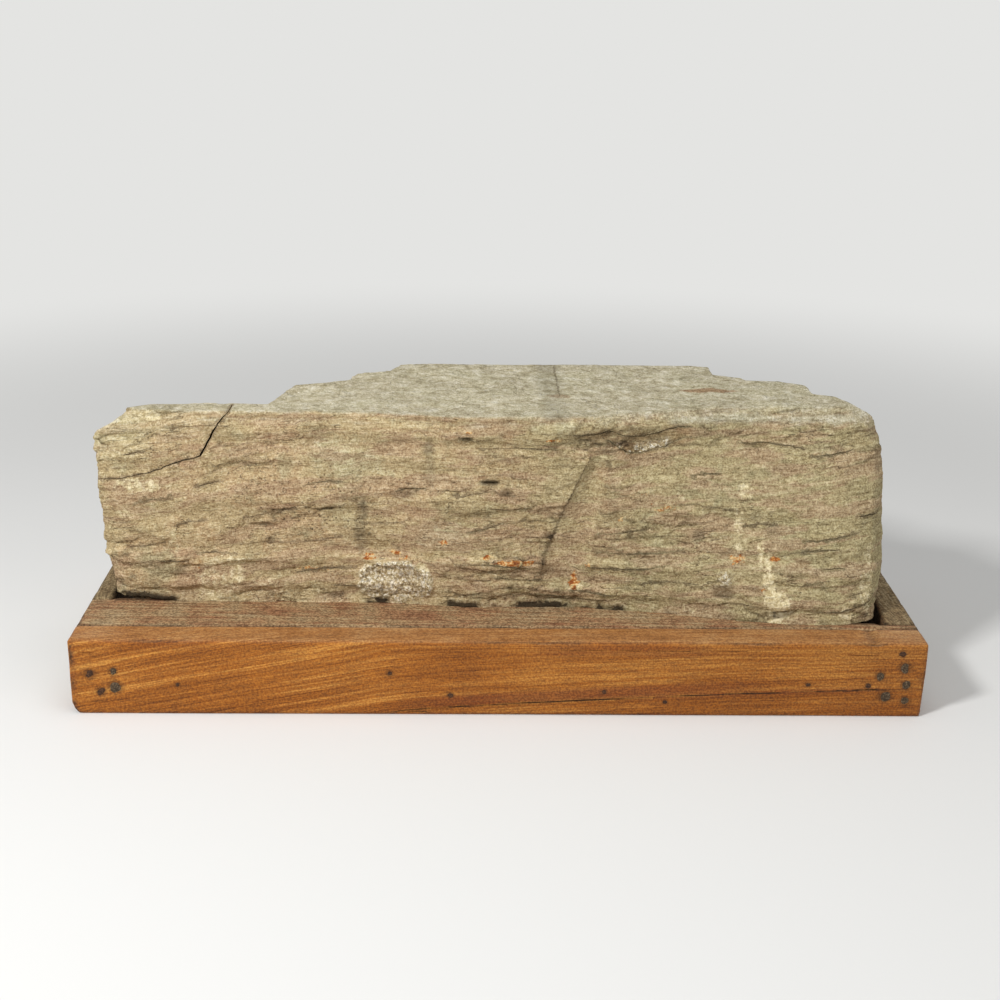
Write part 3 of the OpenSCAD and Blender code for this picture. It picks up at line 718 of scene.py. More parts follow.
def makeStoneFinish():
    # Weathered laminated sandstone, split by hand: dead matt, sandy, streaked along its beds.
    material = bpy.data.materials.new("split bedded sandstone")
    material.use_nodes = True
    tree = material.node_tree
    shader = tree.nodes["Principled BSDF"]
    shader.inputs["Roughness"].default_value = 0.93
    shader.inputs["Specular IOR Level"].default_value = 0.2
    place = addNode(tree, "ShaderNodeTexCoord").outputs["Object"]
    bed = addNode(tree, "ShaderNodeAttribute", attribute_name="bed").outputs["Vector"]
    masks = {name: addNode(tree, "ShaderNodeAttribute", attribute_name=name).outputs["Fac"]
             for name in ("creaseShade", "rust", "lime", "smudgeAndShade", "mortar", "pitted", "dust", "cream",
                          "brown", "quiet")}
    # Patterns that run along the beds: times in a metre along and up, detail and roughness.
    values = dict(masks)
    for name, along, upwards, detail, roughness in (
            ("ruddyNoise", 16, 70, 3.0, 0.6), ("bands", 18, 200, 3.0, 0.6), ("streaks", 75, 620, 3.0, 0.65),
            ("partings", 26, 150, 2.0, 0.5), ("hairs", 40, 260, 2.0, 0.5)):
        laid = addNode(tree, "ShaderNodeMapping", {"Vector": bed, "Scale": (along, along, upwards)})
        values[name] = addNode(tree, "ShaderNodeTexNoise", {
            "Vector": laid, "Scale": 1.0, "Detail": detail, "Roughness": roughness})
    # Patterns that are the same all ways: times in a metre, detail and roughness.
    for name, scale, detail, roughness in (
            ("drift", 11.0, 4.0, 0.65), ("dusty", 60.0, 4.0, 0.8), ("crumble", 90.0, 3.0, 0.7),
            ("grain", 520.0, 1.0, 0.75), ("specks", 210.0, 2.0, 0.75), ("patches", 24.0, 3.0, 0.6),
            ("finePatches", 40.0, 3.0, 0.6), ("pitPatches", 120.0, 1.0, 0.6), ("limeCrumbs", 130.0, 3.0, 0.8),
            ("mortarSand", 300.0, 2.0, 0.8), ("rustCrumbs", 170.0, 3.0, 0.8)):
        values[name] = addNode(tree, "ShaderNodeTexNoise", {
            "Vector": place, "Scale": scale, "Detail": detail, "Roughness": roughness})
    # Sand pits 1 to 3 mm across, painted as dark dots (painted shade in the pits), and the mortar's grains of
    # 3 mm.
    for name, scale in (("pits", 250.0), ("grains", 330.0)):
        values[name] = addNode(tree, "ShaderNodeTexVoronoi", {"Vector": place, "Scale": scale})
    # Tones and masks drawn from those patterns.
    for name, source, stops in (
            ("buff", "drift", ((0.34, "#ab9f80"), (0.44, "#bda684"), (0.50, "#c0ae8b"), (0.56, "#b5a380"),
                               (0.66, "#c0b695"))),
            ("dustTone", "dusty", ((0.32, "#9a947c"), (0.44, "#b3ae97"), (0.54, "#c0bba6"),
                                   (0.68, "#d6d3c5"))),
            ("ruddy", "ruddyNoise", ((0.47, 0.0), (0.57, 1.0))),
            ("lineSpots", "patches", ((0.48, 0.0), (0.58, 1.0))),
            ("dashes", "partings", ((0.478, 0.0), (0.492, 1.0), (0.499, 1.0), (0.509, 0.0))),
            ("steps", "partings", ((0.487, 0.0), (0.500, 1.0))),
            ("fineSpots", "finePatches", ((0.52, 0.0), (0.60, 1.0))),
            ("fineDashes", "hairs", ((0.476, 0.0), (0.492, 1.0), (0.498, 1.0), (0.512, 0.0))),
            ("pitDots", "pits", ((0.15, 1.0), (0.36, 0.0))),
            ("pitSpots", "pitPatches", ((0.48, 0.0), (0.57, 1.0))),
            ("limeTone", "specks", ((0.36, "#b8a47a"), (0.48, "#d6c69b"), (0.60, "#efe2bd"))),
            ("rustTone", "specks", ((0.38, "#8c4213"), (0.45, "#b86e2c"), (0.52, "#cf9656"),
                                    (0.60, "#e3ca96"))),
            ("mortarSandTone", "mortarSand", ((0.36, "#8d7852"), (0.44, "#bfac84"), (0.52, "#ded0ae"),
                                              (0.60, "#fff9e8"))),
            ("joints", "grains", ((0.46, 0.0), (0.72, 0.6))),
            ("deepestShade", "creaseShade", ((0.88, 0.0), (1.0, 1.0)))):
        values[name] = addNode(tree, "ShaderNodeValToRGB", {"Fac": values[source]}, stops)
    # Dark hair lines where beds part, in patches, each a small step down; their darkness is painted shade
    # under the steps. Lime and rust are crumbly, so fine noise breaks them up.
    for name, first, second, operation in (
            ("covered", "dust", "quiet", "ADD"),
            ("linePatch", "lineSpots", "covered", "SUBTRACT"),
            ("lineMask", "dashes", "linePatch", "MULTIPLY"), ("lineStep", "steps", "linePatch", "MULTIPLY"),
            ("finePatch", "fineSpots", "covered", "SUBTRACT"),
            ("fineLines", "fineDashes", "finePatch", "MULTIPLY"),
            ("pitting", "pitDots", "pitSpots", "MULTIPLY"), ("pitMask", "pitting", "pitted", "MULTIPLY"),
            ("limeNoise", "limeCrumbs", 0.615, "MULTIPLY"),
            ("limeShare", "lime", 0.385, "MULTIPLY"), ("limeSum", "limeNoise", "limeShare", "ADD"),
            ("rustNoise", "rustCrumbs", 0.615, "MULTIPLY"), ("rustShare", "rust", 0.385, "MULTIPLY"),
            ("rustSum", "rustNoise", "rustShare", "ADD"), ("sandy", "streaks", "grain", "ADD"),
            ("speckled", "specks", "lineStep", "ADD"), ("height", "sandy", "speckled", "ADD")):
        pair = {0: values[first], 1: values.get(second, second)}
        values[name] = addNode(tree, "ShaderNodeMath", pair, operation=operation)
    limeMask = addNode(tree, "ShaderNodeValToRGB", {"Fac": values["limeSum"]}, ((0.450, 0.0), (0.600, 1.0)))
    rustMask = addNode(tree, "ShaderNodeValToRGB", {"Fac": values["rustSum"]}, ((0.460, 0.0), (0.530, 1.0)))
    mortarTone = addNode(tree, "ShaderNodeMix", {
        0: values["joints"], 6: values["mortarSandTone"], 7: toLinear("#4f3f2a")},
        data_type="RGBA").outputs[2]

    # Broad drifts of buff, brown and olive, about 60 to 100 mm across, greyer towards the right.
    sideways = addNode(tree, "ShaderNodeSeparateXYZ", {0: place}).outputs["X"]
    olive = addNode(tree, "ShaderNodeMapRange", {"Value": sideways, "From Min": -0.12, "From Max": 0.2})
    colour = values["buff"]
    for mask, paint, most in ((olive, toLinear("#9f9876"), 0.62), (values["ruddy"], toLinear("#ab8f78"), 0.5),
                              (masks["cream"], toLinear("#d6c9a6"), 0.45),
                              (masks["dust"], values["dustTone"], 0.85),
                              (masks["brown"], toLinear("#8a6b49"), 0.55)):
        part = addNode(tree, "ShaderNodeMath", {0: mask, 1: most}, operation="MULTIPLY")
        colour = addNode(tree, "ShaderNodeMix", {0: part, 6: colour, 7: paint}, data_type="RGBA").outputs[2]
    # A brown patch and a smudge on the top.
    for centre, reach, most in (((235, 214), (32, 9), 0.8), ((66, 186), (13, 9), 0.45)):
        oval = addNode(tree, "ShaderNodeMapping", {
            "Vector": place, "Location": (centre[0] * mm, frontY + centre[1] * mm, baseTop + 216 * mm),
            "Scale": (reach[0] * mm, reach[1] * mm, 60 * mm)}, vector_type="TEXTURE")
        part = addNode(tree, "ShaderNodeVectorMath", {0: oval}, operation="LENGTH").outputs["Value"]
        for second, operation in ((values["crumble"], "ADD"), (0.5, "MULTIPLY")):
            part = addNode(tree, "ShaderNodeMath", {0: part, 1: second}, operation=operation)
        part = addNode(tree, "ShaderNodeValToRGB", {"Fac": part}, ((0.66, 1.0), (0.80, 0.0)))
        for second in (most, masks["dust"]):
            part = addNode(tree, "ShaderNodeMath", {0: part, 1: second}, operation="MULTIPLY")
        colour = addNode(tree, "ShaderNodeMix", {0: part, 6: colour, 7: toLinear("#8a6c4e")},
                         data_type="RGBA").outputs[2]
    # A hair line that runs back across the top at x = 71 mm, and stops 180 mm behind the frame's front.
    sway = addNode(tree, "ShaderNodeMath", {0: values["crumble"], 1: 0.010}, operation="MULTIPLY")
    hair = addNode(tree, "ShaderNodeMath", {0: sideways, 1: sway}, operation="ADD")
    for second, operation in ((0.0710, "SUBTRACT"), (0.0, "ABSOLUTE"), (100, "MULTIPLY")):
        hair = addNode(tree, "ShaderNodeMath", {0: hair, 1: second}, operation=operation)
    hair = addNode(tree, "ShaderNodeValToRGB", {"Fac": hair}, ((0.04, 1.0), (0.13, 0.0)))
    depth = addNode(tree, "ShaderNodeSeparateXYZ", {0: place}).outputs["Y"]
    depth = addNode(tree, "ShaderNodeMapRange", {
        "Value": depth, "From Min": frontY + 0.180, "From Max": frontY + 0.190})
    for second in (masks["dust"], depth):
        hair = addNode(tree, "ShaderNodeMath", {0: hair, 1: second}, operation="MULTIPLY")
    # Beds 4 to 6 mm thick, streaks of 1.5 mm along them, and sand grains of 1 to 2 mm.
    for name, low, high, dark, light, share in (
            ("bands", 0.34, 0.68, "#5a5146", "#e9e2d2", 0.30),
            ("streaks", 0.36, 0.66, "#3e372c", "#ffffff", 0.34),
            ("specks", 0.36, 0.64, "#48423a", "#f2ece0", 0.36),
            ("grain", 0.34, 0.66, "#2a251e", "#ffffff", 0.46)):
        paint = addNode(tree, "ShaderNodeValToRGB", {"Fac": values[name]}, ((low, dark), (high, light)))
        colour = addNode(tree, "ShaderNodeMix", {0: share, 6: colour, 7: paint},
                         data_type="RGBA", blend_type="SOFT_LIGHT").outputs[2]
    # Lime, mortar and rust are the stone's own colours. smudgeAndShade is partly painted shade, and the bed
    # lines, pits, creaseShade and deepestShade layers are painted shade.
    layers = (
        (limeMask, values["limeTone"], 0.95), (masks["mortar"], mortarTone, 0.95),
        (rustMask, values["rustTone"], 0.9), (masks["smudgeAndShade"], toLinear("#575142"), 0.60),
        (values["lineMask"], toLinear("#4a3823"), 0.62), (values["fineLines"], toLinear("#54422b"), 0.6),
        (values["pitMask"], toLinear("#4a3b29"), 0.75), (hair, toLinear("#57482f"), 0.6),
        (masks["creaseShade"], toLinear("#40311f"), 0.74), (values["deepestShade"], toLinear("#1c140c"), 0.75))
    for mask, paint, most in layers:
        part = addNode(tree, "ShaderNodeMath", {0: mask, 1: most}, operation="MULTIPLY", use_clamp=True)
        colour = addNode(tree, "ShaderNodeMix", {0: part, 6: colour, 7: paint}, data_type="RGBA").outputs[2]
    tree.links.new(colour, shader.inputs["Base Color"])

    # Relief too fine for the mesh: streaks, sand grains and steps.
    bump = addNode(tree, "ShaderNodeBump", {"Height": values["height"], "Strength": 0.8, "Distance": 0.0016})
    tree.links.new(bump.outputs["Normal"], shader.inputs["Normal"])
    return material


# The boards: a sawn hardwood plank in front, older and greyer ones behind it.
boardLook = dict(
    voxel=2.3 * mm,
    edge=1.6 * mm,              # worn round of the arrises
    unevenness=0.35 * mm,
    stripTaper=(63 * mm, 350 * mm, 61 * mm),    # where the strip starts and stops narrowing, and by how much
    stripBearing=((-425 * mm, 417 * mm), (6 * mm, 2 * mm)),     # how far the stone lies on it, left to right
    stripCovered=424 * mm,      # the stone covers it to this far from the middle
    rightSwell=(62 * mm, 6 * mm),               # length and depth of the swelling at the right board's front
)

# The fine split that climbs along the front: x from the middle and z above the ground, in millimetres.
splitX = [-700, -450, -130, -102, -66, -4, 66, 160, 240, 372, 400, 700]
splitZ = [-107.5, -60, 0.5, 4.5, 8, 12, 16.5, 21.5, 26, 31, 32, 34]


boardSplits = [     # from x to x, height (None follows the long split) and width
    (-124, -68, None, 1.2), (-60, -30, None, 0.7), (-22, 168, None, 1.1), (176, 226, None, 0.7),
    (236, 300, None, 0.8), (308, 366, None, 0.6), (374, 400, None, 2.4), (-96, -72, 3.5, 1.0),
    (62, 118, 75.5, 0.5), (124, 152, 75, 0.8), (158, 214, 75.2, 0.7), (222, 262, 75, 0.5),
    (366, 400, 71, 0.5), (-440, -420, 70, 0.8), (-300, -276, 31, 0.5),
]


def carveBoard(piece, seed, turn=(0, 0), inward=(0, 0)):
    look = boardLook
    p = getPoints(piece)
    n = getNormals(piece)
    low, high = p.min(axis=0), p.max(axis=0)
    push = look["unevenness"] * fractal(p, (0.12, 0.05, 0.03), seed, 3)
    # Arrises: chipped here and there, more at the corners.
    gap = np.sort(np.minimum(p - low, high - p), axis=1)
    edge = 1 - ease(0.5 * mm, 4.5 * mm, gap[:, 1])
    corner = 1 - ease(1 * mm, 9 * mm, gap[:, 2])
    chips = fractal(p, (0.03, 0.012, 0.012), seed + 5, 3)
    push -= edge * (0.5 * mm + 1.6 * mm * ease(0.15, 0.6, chips) + 1.5 * mm * corner * ease(-0.2, 0.5, chips))
    p = p + n * push[:, None]
    setPoints(piece, p)
    setMask(piece, "worn", edge * ease(-0.3, 0.5, chips + 0.2) + 0.7 * corner)
    # The inner sides, and the strip where the stone lies on it, are painted dark: painted shade in the hollow
    # under the stone.
    innerShade = 0.85 * ease(0.4, 0.9, n[:, 0] * inward[0] + n[:, 1] * inward[1])
    if inward == (0, 1):
        start, stop, depth = look["stripTaper"]
        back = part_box("packing_strip")[1][1] - depth * np.clip((p[:, 0] - start) / (stop - start), 0, 1)
        bearing = np.interp(p[:, 0], *look["stripBearing"])
        covered = ease(-0.5 * mm, 1.5 * mm, p[:, 1] - back + bearing)
        innerShade = np.maximum(innerShade, covered * (np.abs(p[:, 0]) < look["stripCovered"]))
    setMask(piece, "stainAndShade", innerShade)
    wave = fractal(p, (0.35, 0.08, 0.05), seed + 9, 2)
    course = p.copy()
    course[:, 2] = p[:, 2] + turn[0] * p[:, 0] + turn[1] * p[:, 1] + 0.006 * wave
    setCourse(piece, "grain", course)


def carveFront(piece, heads):
    p = getPoints(piece)
    n = getNormals(piece)
    low, high = p.min(axis=0), p.max(axis=0)
    x, z = p[:, 0] / mm, p[:, 2] / mm
    face = ease(0.5, 0.9, -n[:, 1])
    top = ease(0.5, 0.9, n[:, 2])
    chips = fractal(p, (0.03, 0.012, 0.012), 205, 3)
    small = fractal(p, (0.008, 0.008, 0.005), 208, 2)
    push = 0.35 * mm * fractal(p, (0.16, 0.05, 0.02), 201, 3)
    gap = np.sort(np.minimum(p - low, high - p), axis=1)
    edge = 1 - ease(0.3 * mm, 3.6 * mm, gap[:, 1])
    atLeft = 1 - ease(1, 9, x - low[0] / mm)
    atRight = 1 - ease(1, 9, high[0] / mm - x)
    push -= edge * (0.35 * mm + 1.1 * mm * ease(0.25, 0.7, chips))
    # The left end is chipped down its whole height and its lower corner is knocked off.
    leftChip = atLeft * face * (0.35 + 0.65 * ease(-0.1, 0.4, chips))
    push -= 2.4 * mm * leftChip
    foot = ease(0, 1, 1.1 - np.hypot((x - low[0] / mm) / 8, z / 12)) * (1 + 0.4 * small)
    p[:, 0] += 2.2 * mm * foot
    p[:, 2] += 0.8 * mm * foot
    push -= 1.2 * mm * foot
    push -= 1.6 * mm * atRight * face * ease(0.0, 0.5, chips)
    lean = ease(60, 0, z) * atRight
    p[:, 0] -= 1.8 * mm * lean
    # Scrapes and dents.
    scrapes = ease(0.42, 0.7, fractal(p, (0.035, 0.02, 0.005), 214, 3)) * face
    push -= 0.8 * mm * scrapes * (0.4 + 0.6 * ease(-340, -420, x))
    nick = ease(0, 1, 1 - np.hypot((x - 394) / 11, (z - 84) / 4))
    push -= 2.2 * mm * nick
    # The split, and a shallow one near the top.
    along = z - np.interp(x, splitX, splitZ)
    split = np.exp(-(along / 2.2) ** 2) * ease(-140, -60, x) * ease(180, 150, x) * face
    push -= 0.5 * mm * split
    stainAndShade = np.zeros(len(p))
    for centre, reach in heads:
        far = np.hypot(p[:, 0] - centre[0], p[:, 2] - centre[2]) / reach
        push -= 1.1 * mm * (1 - ease(0.7, 1.35, far + 0.25 * small)) * face
        stainAndShade = np.maximum(stainAndShade, (1 - ease(0.8, 1.9, far + 0.5 * chips)) * face)
    p = p + n * push[:, None]
    setPoints(piece, p)

    leftDark = atLeft * face * ease(-0.25, 0.25, chips + 0.3 * small)
    setMask(piece, "worn", edge * ease(0.0, 0.6, chips + 0.25) * 0.8 + leftDark + 0.9 * foot)
    setMask(piece, "stainAndShade", 0.75 * stainAndShade + 0.6 * scrapes * ease(-330, -420, x) + 0.5 * nick)
    # The split mask: the long split darkened (painted shade in the split), and a dark line along the top
    # front arris on the left.
    arris = np.exp(-((z - 84.6) / 1.3) ** 2) * np.exp(-((p[:, 1] - low[1]) / (1.6 * mm)) ** 2)
    rim = arris * ease(-150, -90, x) * ease(90, 40, x) * (0.6 + 0.4 * small)
    setMask(piece, "split", 0.18 * split + 0.7 * rim)
    band = ease(-1, 3, along) * ease(17, 11, along) * ease(-150, -20, x) * ease(330, 140, x)
    band = np.maximum(band, 0.8 * ease(-3.5, -1, along) * ease(4.5, 1.5, along)
                      * ease(120, 170, x) * ease(420, 380, x))
    band = np.maximum(band, 0.6 * ease(66, 72, z) * ease(84, 79, z) * ease(20, 60, x) * ease(260, 180, x))
    band = np.maximum(band, 0.5 * ease(-440, -446, x)
                      + 0.35 * ease(70, 80, z) * ease(-420, -340, x) * ease(-250, -330, x))
    setMask(piece, "red", band * face)
    wave = fractal(p, (0.30, 0.08, 0.04), 221, 3)
    course = p.copy()
    course[:, 2] = (z - np.interp(x, splitX, splitZ)) * mm + 0.85 * (p[:, 1] - low[1]) + 0.004 * wave
    flat = ease(60, 85, z) * ease(-140, -60, x)     # near the top the fibres run along the edge
    course[:, 2] += flat * np.interp(x, splitX, splitZ) * mm * 0.7
    setCourse(piece, "grain", course)


def cutSplits(piece):
    # Drying splits in the front face, 0.5 to 2 mm wide and 4 mm deep.
    ribbons = []
    for i, (start, end, above, wide) in enumerate(boardSplits):
        x = np.arange(start, end, 4.0)
        z = (np.interp(x, splitX, splitZ) if above is None else above + 0 * x)
        line = np.stack([x * mm, 0 * x + frontY, z * mm], 1)
        line[:, 2] += 0.7 * mm * fractal(line + i, (0.014, 1, 1), 231, 3)
        width = wide * mm * np.sin(math.pi * (x - start + 1) / (end - start + 2)) ** 0.5
        width *= 1 + 0.6 * fractal(line, (0.012, 1, 1), 235, 2)
        side = np.tile([0, 0, 1.0], (len(line), 1))
        ribbons.append((line, side, (width, width * 0.3),
                        [np.array([0, -4 * mm, 0.0]), np.array([0, 4 * mm, 0.8 * mm])]))
    cutter = addRibbons("splitCutter", ribbons)
    # The cutter's walls take the split mask, so the walls of the cut splits are painted dark: painted shade.
    setMask(cutter, "split", np.ones(len(cutter.data.vertices)))
    applyModifier(piece, "BOOLEAN", operation="DIFFERENCE", object=cutter, solver="MANIFOLD")
    bpy.data.objects.remove(cutter)
    makeActive(piece)
    bpy.ops.object.shade_smooth_by_angle(angle=math.radians(40))


def makeBoard(name, node, shape=None):
    low, high = (Vector(corner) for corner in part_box(node))
    deselectAll()
    bpy.ops.mesh.primitive_cube_add(size=1, location=(low + high) / 2)
    piece = bpy.context.object
    piece.name = name
    piece.scale = high - low
    bpy.ops.object.transform_apply(location=True, rotation=True, scale=True)
    if shape:
        shape(piece, low, high)
    p = getPoints(piece)
    fullSize = p.min(axis=0), p.max(axis=0)
    bpy.ops.object.mode_set(mode="EDIT")
    bpy.ops.mesh.select_all(action="SELECT")
    bpy.ops.mesh.bevel(offset=boardLook["edge"] * 0.7, segments=2, affect="EDGES")
    bpy.ops.object.mode_set(mode="OBJECT")
    applyModifier(piece, "REMESH", mode="VOXEL", voxel_size=boardLook["voxel"])
    applyModifier(piece, "SMOOTH", factor=0.5, iterations=2)
    # Remeshing shrinks a board a little, so it is stretched back to its size.
    p = getPoints(piece)
    small, large = p.min(axis=0), p.max(axis=0)
    low, high = fullSize
    setPoints(piece, low + (p - small) / (large - small) * (high - low))
    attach(piece, "root")
    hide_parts(node)
    return piece


def cutAcross(piece, place, normal):
    bpy.ops.object.mode_set(mode="EDIT")
    bpy.ops.mesh.select_all(action="SELECT")
    bpy.ops.mesh.bisect(plane_co=place, plane_no=normal)
    bpy.ops.object.mode_set(mode="OBJECT")


def moveCorners(piece, chosen, shift):
    bpy.ops.object.mode_set(mode="EDIT")
    bpy.ops.mesh.select_all(action="DESELECT")
    bpy.ops.object.mode_set(mode="OBJECT")
    for corner in piece.data.vertices:
        corner.select = chosen(corner.co)
    bpy.ops.object.mode_set(mode="EDIT")
    bpy.ops.transform.translate(value=shift)
    bpy.ops.object.mode_set(mode="OBJECT")


def taperStrip(piece, low, high):
    start, stop, depth = boardLook["stripTaper"]
    cutAcross(piece, (start, 0, 0), (1, 0, 0))
    cutAcross(piece, (stop, 0, 0), (1, 0, 0))
    moveCorners(piece, lambda co: co.x > stop - mm and co.y > low.y + 5 * mm, (0, -depth, 0))
    # Out of sight, the strip reaches a little further under the stone.
    for place in (-426, -421, 406, 410):
        cutAcross(piece, (place * mm, 0, 0), (1, 0, 0))
    moveCorners(piece, lambda co: -422 * mm < co.x < 407 * mm and co.y > low.y + 5 * mm, (0, 5 * mm, 0))


def swellRight(piece, low, high):
    reach, depth = boardLook["rightSwell"]
    cutAcross(piece, (0, low.y + reach, 0), (0, 1, 0))
    moveCorners(piece, lambda co: co.y > low.y + reach - mm and co.x < low.x + 5 * mm, (depth, 0, 0))


def finishBoard(piece, ratio, material):
    applyModifier(piece, "DECIMATE", ratio=ratio)
    makeActive(piece)
    bpy.ops.object.shade_smooth()
    piece.data.materials.append(material)
    print(piece.name, "done:", len(piece.data.polygons), "faces")


def makeWoodFinish(name, tones, redTone, wornTone, gloss, dirt):
    # Sawn and oiled hardwood, open grained: satin on the proud fibres, dull in the pores. The grain
    # attribute runs with the fibres: bands 4 to 10 mm apart, fibres about 1 mm, pores 0.5 mm.
    material = bpy.data.materials.new(name)
    material.use_nodes = True
    tree = material.node_tree
    shader = tree.nodes["Principled BSDF"]
    shader.inputs["Specular IOR Level"].default_value = 0.25
    place = addNode(tree, "ShaderNodeTexCoord").outputs["Object"]
    grain = addNode(tree, "ShaderNodeAttribute", attribute_name="grain").outputs["Vector"]
    masks = {name: addNode(tree, "ShaderNodeAttribute", attribute_name=name).outputs["Fac"]
             for name in ("worn", "stainAndShade", "split", "red")}
    noises = []
    for scale, detail in (((3.0, 6, 120), 3.0), ((11, 30, 640), 4.0), ((120, 200, 1300), 3.0),
                          ((4, 4, 9), 3.0)):
        turned = addNode(tree, "ShaderNodeMapping", {"Vector": grain, "Scale": scale})
        noises.append(addNode(tree, "ShaderNodeTexNoise", {
            "Vector": turned.outputs[0], "Scale": 1.0, "Detail": detail, "Roughness": 0.55,
            "Distortion": 0.15}).outputs["Fac"])
    bands, fibres, pores, drift = noises
    mixed = addNode(tree, "ShaderNodeMath", {0: bands, 1: fibres}, operation="ADD").outputs[0]
    mixed = addNode(tree, "ShaderNodeMath", {0: mixed, 1: drift}, operation="ADD").outputs[0]
    third = addNode(tree, "ShaderNodeMath", {0: mixed, 1: 1 / 3}, operation="MULTIPLY").outputs[0]
    colour = addNode(tree, "ShaderNodeValToRGB", {"Fac": third}, tones).outputs["Color"]
    poreMask = addNode(tree, "ShaderNodeValToRGB", {"Fac": pores}, [(0.38, 1.0), (0.50, 0.0)])
    soiled = addNode(tree, "ShaderNodeTexNoise", {"Vector": place, "Scale": 22.0, "Detail": 5.0,
                                                  "Roughness": 0.65}).outputs["Fac"]
    dirtMask = addNode(tree, "ShaderNodeValToRGB", {"Fac": soiled}, [(0.45, 0.0), (0.68, 1.0)])
    upward = addNode(tree, "ShaderNodeSeparateXYZ", {
        0: addNode(tree, "ShaderNodeNewGeometry").outputs["Normal"]}).outputs["Z"]
    facingUp = addNode(tree, "ShaderNodeMapRange", {"Value": upward, "From Min": 0.5, "From Max": 0.95})
    mottle = addNode(tree, "ShaderNodeMath", {0: fibres, 1: soiled}, operation="ADD").outputs[0]
    mottle = addNode(tree, "ShaderNodeMath", {0: mottle, 1: 0.5}, operation="MULTIPLY").outputs[0]
    trodden = addNode(tree, "ShaderNodeValToRGB", {"Fac": mottle}, dirt[0]).outputs["Color"]
    sideways = addNode(tree, "ShaderNodeSeparateXYZ", {0: place}).outputs["X"]
    shaded = addNode(tree, "ShaderNodeMapRange", {"Value": sideways, "From Min": -0.25, "From Max": 0.3})
    # The long split follows the fibres, broken here and there, and is painted as a dark line: painted shade
    # in the split. On the other boards it falls outside.
    off = addNode(tree, "ShaderNodeSeparateXYZ", {0: grain}).outputs["Z"]
    off = addNode(tree, "ShaderNodeMath", {0: off}, operation="ABSOLUTE").outputs[0]
    off = addNode(tree, "ShaderNodeMapRange", {"Value": off, "From Min": 0.0004, "From Max": 0.0011,
                                               "To Min": 1.0, "To Max": 0.0}).outputs[0]
    along = addNode(tree, "ShaderNodeMapRange", {"Value": sideways, "From Min": -0.12, "From Max": -0.05})
    broken = addNode(tree, "ShaderNodeTexNoise", {"Vector": place, "Scale": 28.0, "Detail": 2.0})
    broken = addNode(tree, "ShaderNodeValToRGB", {"Fac": broken}, [(0.42, 0.15), (0.52, 1.0)])
    parting = addNode(tree, "ShaderNodeMath", {0: off, 1: along}, operation="MULTIPLY").outputs[0]
    parting = addNode(tree, "ShaderNodeMath", {0: parting, 1: broken}, operation="MULTIPLY").outputs[0]
    # stainAndShade is painted shade on the inner sides and under the stone, and real stains on the front
    # board. The split mask is painted shade in the splits, with a dark line along the front's top arris.
    layers = ((shaded, "#6e3808", 0.30), (facingUp, trodden, dirt[1]), (masks["red"], redTone, 0.72),
              (poreMask, wornTone, 0.34), (dirtMask, wornTone, dirt[2]), (masks["stainAndShade"], "#3a2413", 0.75),
              (masks["worn"], wornTone, 0.85), (masks["split"], "#1c0f08", 0.92), (parting, "#2a150a", 0.85))
    for mask, paint, most in layers:
        part = addNode(tree, "ShaderNodeMath", {0: mask, 1: most}, operation="MULTIPLY", use_clamp=True)
        paint = toLinear(paint) if isinstance(paint, str) else paint
        colour = addNode(tree, "ShaderNodeMix", {0: part.outputs[0], 6: colour, 7: paint},
                         data_type="RGBA").outputs[2]
    # Torn fibres and specks of dirt, 1 to 3 mm.
    torn = addNode(tree, "ShaderNodeTexNoise", {"Vector": place, "Scale": 430.0, "Detail": 1.0,
                                                "Roughness": 0.7}).outputs["Fac"]
    torn = addNode(tree, "ShaderNodeValToRGB", {"Fac": torn}, [(0.38, "#2b241c"), (0.62, "#f4efe6")])
    colour = addNode(tree, "ShaderNodeMix", {0: dirt[3], 6: colour, 7: torn.outputs["Color"]},
                     data_type="RGBA", blend_type="SOFT_LIGHT").outputs[2]
    tree.links.new(colour, shader.inputs["Base Color"])
    rough = addNode(tree, "ShaderNodeMapRange", {"Value": fibres, "From Min": 0.3, "From Max": 0.7,
                                                 "To Min": gloss + 0.12, "To Max": gloss - 0.06})
    tree.links.new(rough.outputs[0], shader.inputs["Roughness"])
    sunk = addNode(tree, "ShaderNodeMath", {0: poreMask, 1: masks["split"]}, operation="ADD").outputs[0]
    height = addNode(tree, "ShaderNodeMath", {0: fibres, 1: sunk}, operation="SUBTRACT").outputs[0]
    bump = addNode(tree, "ShaderNodeBump", {"Height": height, "Strength": 0.35, "Distance": 0.0006})
    tree.links.new(bump.outputs["Normal"], shader.inputs["Normal"])
    return material


# The nail heads: what shows is rusty iron, or filler stopped flush over it.
# For each node: width and height of the mark in millimetres, its slant in degrees, how far it is
# shifted from the nail and how ragged its outline is.
nailMarks = dict(
    left_nail_1=(13, 5.5, 52, 0, 0.45), left_nail_2=(15, 5.0, 40, 0, 0.55),
    left_nail_3=(8, 9, 10, 0, 0.3), left_nail_4=(11.5, 14, -20, 0, 0.3),
    right_nail_1=(7, 17, 8, 3, 0.35), right_nail_2=(8, 12, -10, 0, 0.35), right_nail_3=(8.5, 11, 0, 0, 0.3),
    right_nail_4=(9, 5.5, 0, 0, 0.5), right_short_nail_1=(8, 10.5, 0, 0, 0.3),
    right_short_nail_2=(10.5, 13.5, 20, 0, 0.35),
    brad_1=(4.8, 5.2, 0, 0, 0.2), brad_2=(7.0, 4.6, 15, 0, 0.3), brad_3=(7.2, 4.8, 0, 0, 0.25),
    brad_4=(5.6, 5.6, 0, 0, 0.25), brad_5=(5.6, 5.0, 0, 0, 0.3), brad_6=(7.0, 4.6, -8, 0, 0.4),
    brad_7=(6.6, 6.4, 0, 0, 0.35),
)
fillers = ("left_nail_3", "left_nail_4", "right_nail_1", "right_nail_2", "right_nail_3",
           "right_short_nail_1", "right_short_nail_2")


